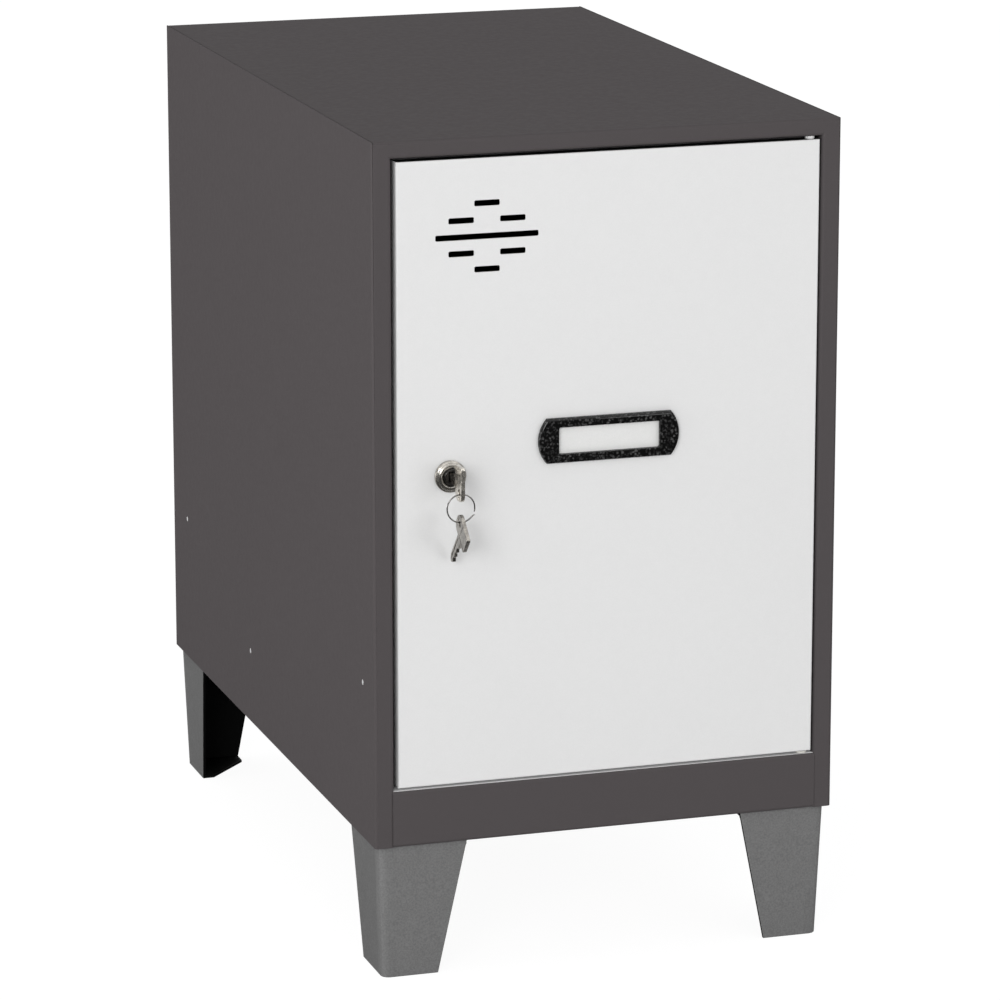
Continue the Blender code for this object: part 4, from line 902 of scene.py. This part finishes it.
WIRE_FROM_EYE = 2.45
SPARE_TILT = math.radians(47)
RING_RADIUS = 8.7
WIRE_RADIUS = 0.45
WIRE_ENDS = (0.55, 0.9)
HOOK_SPAN, HOOK_REACH = 14, 1.1
PANEL_LOW, EYE_RADIUS = 7.4, 0.95
OVAL_HALF_WIDTH, OVAL_HALF_LENGTH, OVAL_RISE = 1.8, 2.1, 3.8
BOW_FRONT, BOW_BACK, BOW_LOW, BOW_TOP = -5.0, 8.0, -2.2, 19.6
BLADE_MIDDLE, BLADE_HALF, BLADE_TIP, BLADE_TAPER = 8.7, 3.2, 33.0, 3.75
BLADE_CUTS = (
    (0.26, 1.0), (0.32, 0.55), (0.40, 0.55), (0.46, 0.90), (0.52, 0.35), (0.60, 0.35), (0.66, 0.80),
    (0.72, 0.45), (0.80, 0.45), (0.86, 0.85), (0.93, 0.60),
)
KEY_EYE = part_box("lock_key")[0] - Vector((0, BOW_FRONT, BOW_LOW)) * MM
KEY_EYE.x = LOCK.x


def flat_faces(bm, side, test):
    """Faces of a plate's front or back whose middle passes a test."""
    bm.normal_update()
    return [
        face for face in bm.faces
        if face.normal.y * side > 0.99 and test(face.calc_center_median())
    ]


def bow_plate():
    """The bow with its eye and its oval hole, thick, with rounded edges and a sunk panel."""
    low, high = BOW_LOW + 5, BOW_TOP - 1.5
    outline = arc((BOW_FRONT + 5, low), 5, 180, 270, 12) + arc((BOW_BACK - 5, low), 5, 270, 360, 12)
    outline += arc((BOW_BACK - 1.5, high), 1.5, 0, 90, 6) + arc((BOW_FRONT + 1.5, high), 1.5, 90, 180, 6)
    eye = ring_of(EYE_RADIUS, 24)
    oval = [
        (OVAL_HALF_WIDTH * across, OVAL_RISE + OVAL_HALF_LENGTH * rise) for across, rise in ring_of(1, 32)
    ]
    bm = plate((outline, eye, oval), -1.2, 1.2)
    outer = []
    holes = []
    for edge in sharp_edges(bm):
        spot = (edge.verts[0].co + edge.verts[1].co) / 2
        at_hole = abs(spot.x) < 1.9 and -1.0 < spot.z < 6.0
        (holes if at_hole else outer).append(edge)
    ease(bm, outer + holes, 0.3, 3)
    cut_across(bm, (0, 0, PANEL_LOW), (0, 0, 1))
    for side in (-1, 1):
        panel = flat_faces(bm, side, lambda spot: spot.z > PANEL_LOW)
        bmesh.ops.inset_region(bm, faces=panel, thickness=1.0, depth=0, use_even_offset=True)
        bmesh.ops.inset_region(bm, faces=panel, thickness=0.25, depth=-0.18, use_even_offset=True)
    return bm


def blade_plate():
    """The blade with its cuts along the upper edge and a milled groove in each side."""
    length = BLADE_TIP - BOW_BACK
    low, start = BLADE_MIDDLE - BLADE_HALF, BOW_BACK - 0.8
    outline = [(start, low), (BLADE_TIP - BLADE_TAPER, low), (BLADE_TIP, BLADE_MIDDLE)]
    for along, rise in reversed(BLADE_CUTS):
        outline.append((BOW_BACK + length * along, BLADE_MIDDLE + BLADE_HALF * rise))
    outline.append((start, BLADE_MIDDLE + BLADE_HALF))
    bm = plate((outline,), -1.02, 1.02)
    ease(bm, sharp_edges(bm), 0.18, 2)
    groove = (BLADE_MIDDLE - 1.5, BLADE_MIDDLE - 0.55)
    for level in groove:
        cut_across(bm, (0, 0, level), (0, 0, 1))
    cut_across(bm, (BOW_BACK + 1, 0, 0), (1, 0, 0))
    for side in (-1, 1):
        strip = flat_faces(bm, side, lambda spot: spot.x > BOW_BACK + 1 and groove[0] < spot.z < groove[1])
        bmesh.ops.inset_region(bm, faces=strip, thickness=0.15, depth=-0.3, use_even_offset=True)
    return bm


def make_keys():
    """The key in the lock, and the one that hangs from the ring by its oval hole."""
    turn = Matrix.Rotation(math.pi - SPARE_TILT, 4, "X") @ Matrix.Rotation(math.pi, 4, "Z")
    wire = KEY_EYE + Vector((0, 0, WIRE_FROM_EYE - 2 * RING_RADIUS)) * MM
    spare_eye = wire - turn.to_3x3() @ Vector((0, 0, WIRE_FROM_EYE)) * MM
    for node, place, tilt in (("lock_key", KEY_EYE, Matrix()), ("spare_key", spare_eye, turn)):
        bm = set_down(joined(bow_plate(), blade_plate()), place, tilt @ TURN_LEFT)
        finish_piece(bm, node + "_fine", node, finish=KEY_FINISHES[node])


def make_ring():
    """Wire ring with one end bent out into a small hook, its ends rounded."""
    opening, centre = 9, -22
    steps, sides = 150, 14
    bm = bmesh.new()
    loops = []
    for step in range(steps + 1):
        share = step / steps
        turn = math.radians(centre + opening / 2 + (360 - opening) * share)
        near_end = max(0.0, 1 - (1 - share) * 360 / HOOK_SPAN)
        middle_radius = RING_RADIUS + HOOK_REACH * near_end ** 2
        from_end = min(step, steps - step)
        wire = WIRE_RADIUS * (WIRE_ENDS[from_end] if from_end < len(WIRE_ENDS) else 1)
        loop = []
        for side in range(sides):
            around = 2 * math.pi * side / sides
            reach = middle_radius + wire * math.cos(around)
            spot = (reach * math.cos(turn), wire * math.sin(around), reach * math.sin(turn))
            loop.append(bm.verts.new(spot))
        loops.append(loop)
    for first, second in zip(loops, loops[1:]):
        for index in range(sides):
            after = (index + 1) % sides
            bm.faces.new((first[index], first[after], second[after], second[index]))
    bm.faces.new(loops[0])
    bm.faces.new(loops[-1])
    place = KEY_EYE + Vector((0, 0, WIRE_FROM_EYE - RING_RADIUS)) * MM
    finish_piece(set_down(bm, place), "key_ring_fine", "key_ring")


# Studio

WORLD_LIGHT = (0.82, 0.60)
SHINE_HEIGHTS = (0.1, 0.75)
SHINE_LIGHT = (0.09, 1.2)
FLOOR_HALF = 6.0
FLOOR_IN_LIGHT = 0.8
FLOOR_IN_SHINE = 0.12
FLOOR_SHADOW = 0.14
FLOOR_GLOW = 0.93


def mixed(tree, share, first, second):
    """A shader between two others."""
    return add(tree, "ShaderNodeMixShader", {0: share, 1: first.outputs[0], 2: second.outputs[0]})


def diffuse(tree, grey):
    return add(tree, "ShaderNodeBsdfDiffuse", {"Color": (grey, grey, grey, 1)})


def make_world():
    """White to the camera, even light to the paint, and a dim horizon in what shines."""
    world = bpy.data.worlds.new("studio")
    bpy.context.scene.world = world
    world.use_nodes = True
    tree = world.node_tree
    seen = add(tree, "ShaderNodeBackground", {"Color": (1, 1, 1, 1), "Strength": 1.0})
    path = add(tree, "ShaderNodeLightPath").outputs
    way = add(tree, "ShaderNodeTexCoord").outputs["Generated"]
    height = add(tree, "ShaderNodeSeparateXYZ", {0: way}).outputs["Z"]
    even = spread(tree, height, 0.0, 1.0, *WORLD_LIGHT)
    light = add(tree, "ShaderNodeBackground", {"Color": (1, 1, 1, 1), "Strength": even})
    glow = spread(tree, height, *SHINE_HEIGHTS, *SHINE_LIGHT)
    shine = add(tree, "ShaderNodeBackground", {"Color": (1, 1, 1, 1), "Strength": glow})
    lit = mixed(tree, path["Is Glossy Ray"], light, shine)
    share = calculated(tree, "MAXIMUM", path["Is Camera Ray"], path["Is Transmission Ray"])
    mix = mixed(tree, share, lit, seen)
    tree.links.new(mix.outputs[0], tree.nodes["World Output"].inputs["Surface"])


def make_floor():
    """Pale floor that glows to the camera up to white, so that only the shadow shows."""
    bm = bmesh.new()
    bmesh.ops.create_circle(bm, cap_ends=True, segments=64, radius=FLOOR_HALF)
    mesh = bpy.data.meshes.new("floor")
    bm.to_mesh(mesh)
    bm.free()
    material = bpy.data.materials.new("floor_white")
    material.use_nodes = True
    tree = material.node_tree
    path = add(tree, "ShaderNodeLightPath").outputs
    glow = add(tree, "ShaderNodeEmission", {"Color": (1, 1, 1, 1), "Strength": FLOOR_GLOW})
    pale = add(tree, "ShaderNodeAddShader", {0: diffuse(tree, FLOOR_SHADOW).outputs[0], 1: glow.outputs[0]})
    lit = mixed(tree, path["Is Glossy Ray"], diffuse(tree, FLOOR_IN_LIGHT), diffuse(tree, FLOOR_IN_SHINE))
    mix = mixed(tree, path["Is Camera Ray"], lit, pale)
    tree.links.new(mix.outputs[0], tree.nodes["Material Output"].inputs["Surface"])
    mesh.materials.append(material)
    floor = bpy.data.objects.new("floor", mesh)
    bpy.context.scene.collection.objects.link(floor)


bpy.context.scene.view_settings.view_transform = "Standard"
make_camera()
make_world()
make_floor()
make_lamps()
make_sheets()
make_door()
make_front_sheets()
make_legs()
make_rivets()
make_leg_bolts()
make_upper_pin()
make_buffers()
make_label_holder()
make_lock()
make_cam_fastening()
make_keys()
make_ring()
for node, solid in NODES.items():
    solid.data.materials.clear()
    solid.data.materials.append(FINISHES[SLOT_OF[node]])
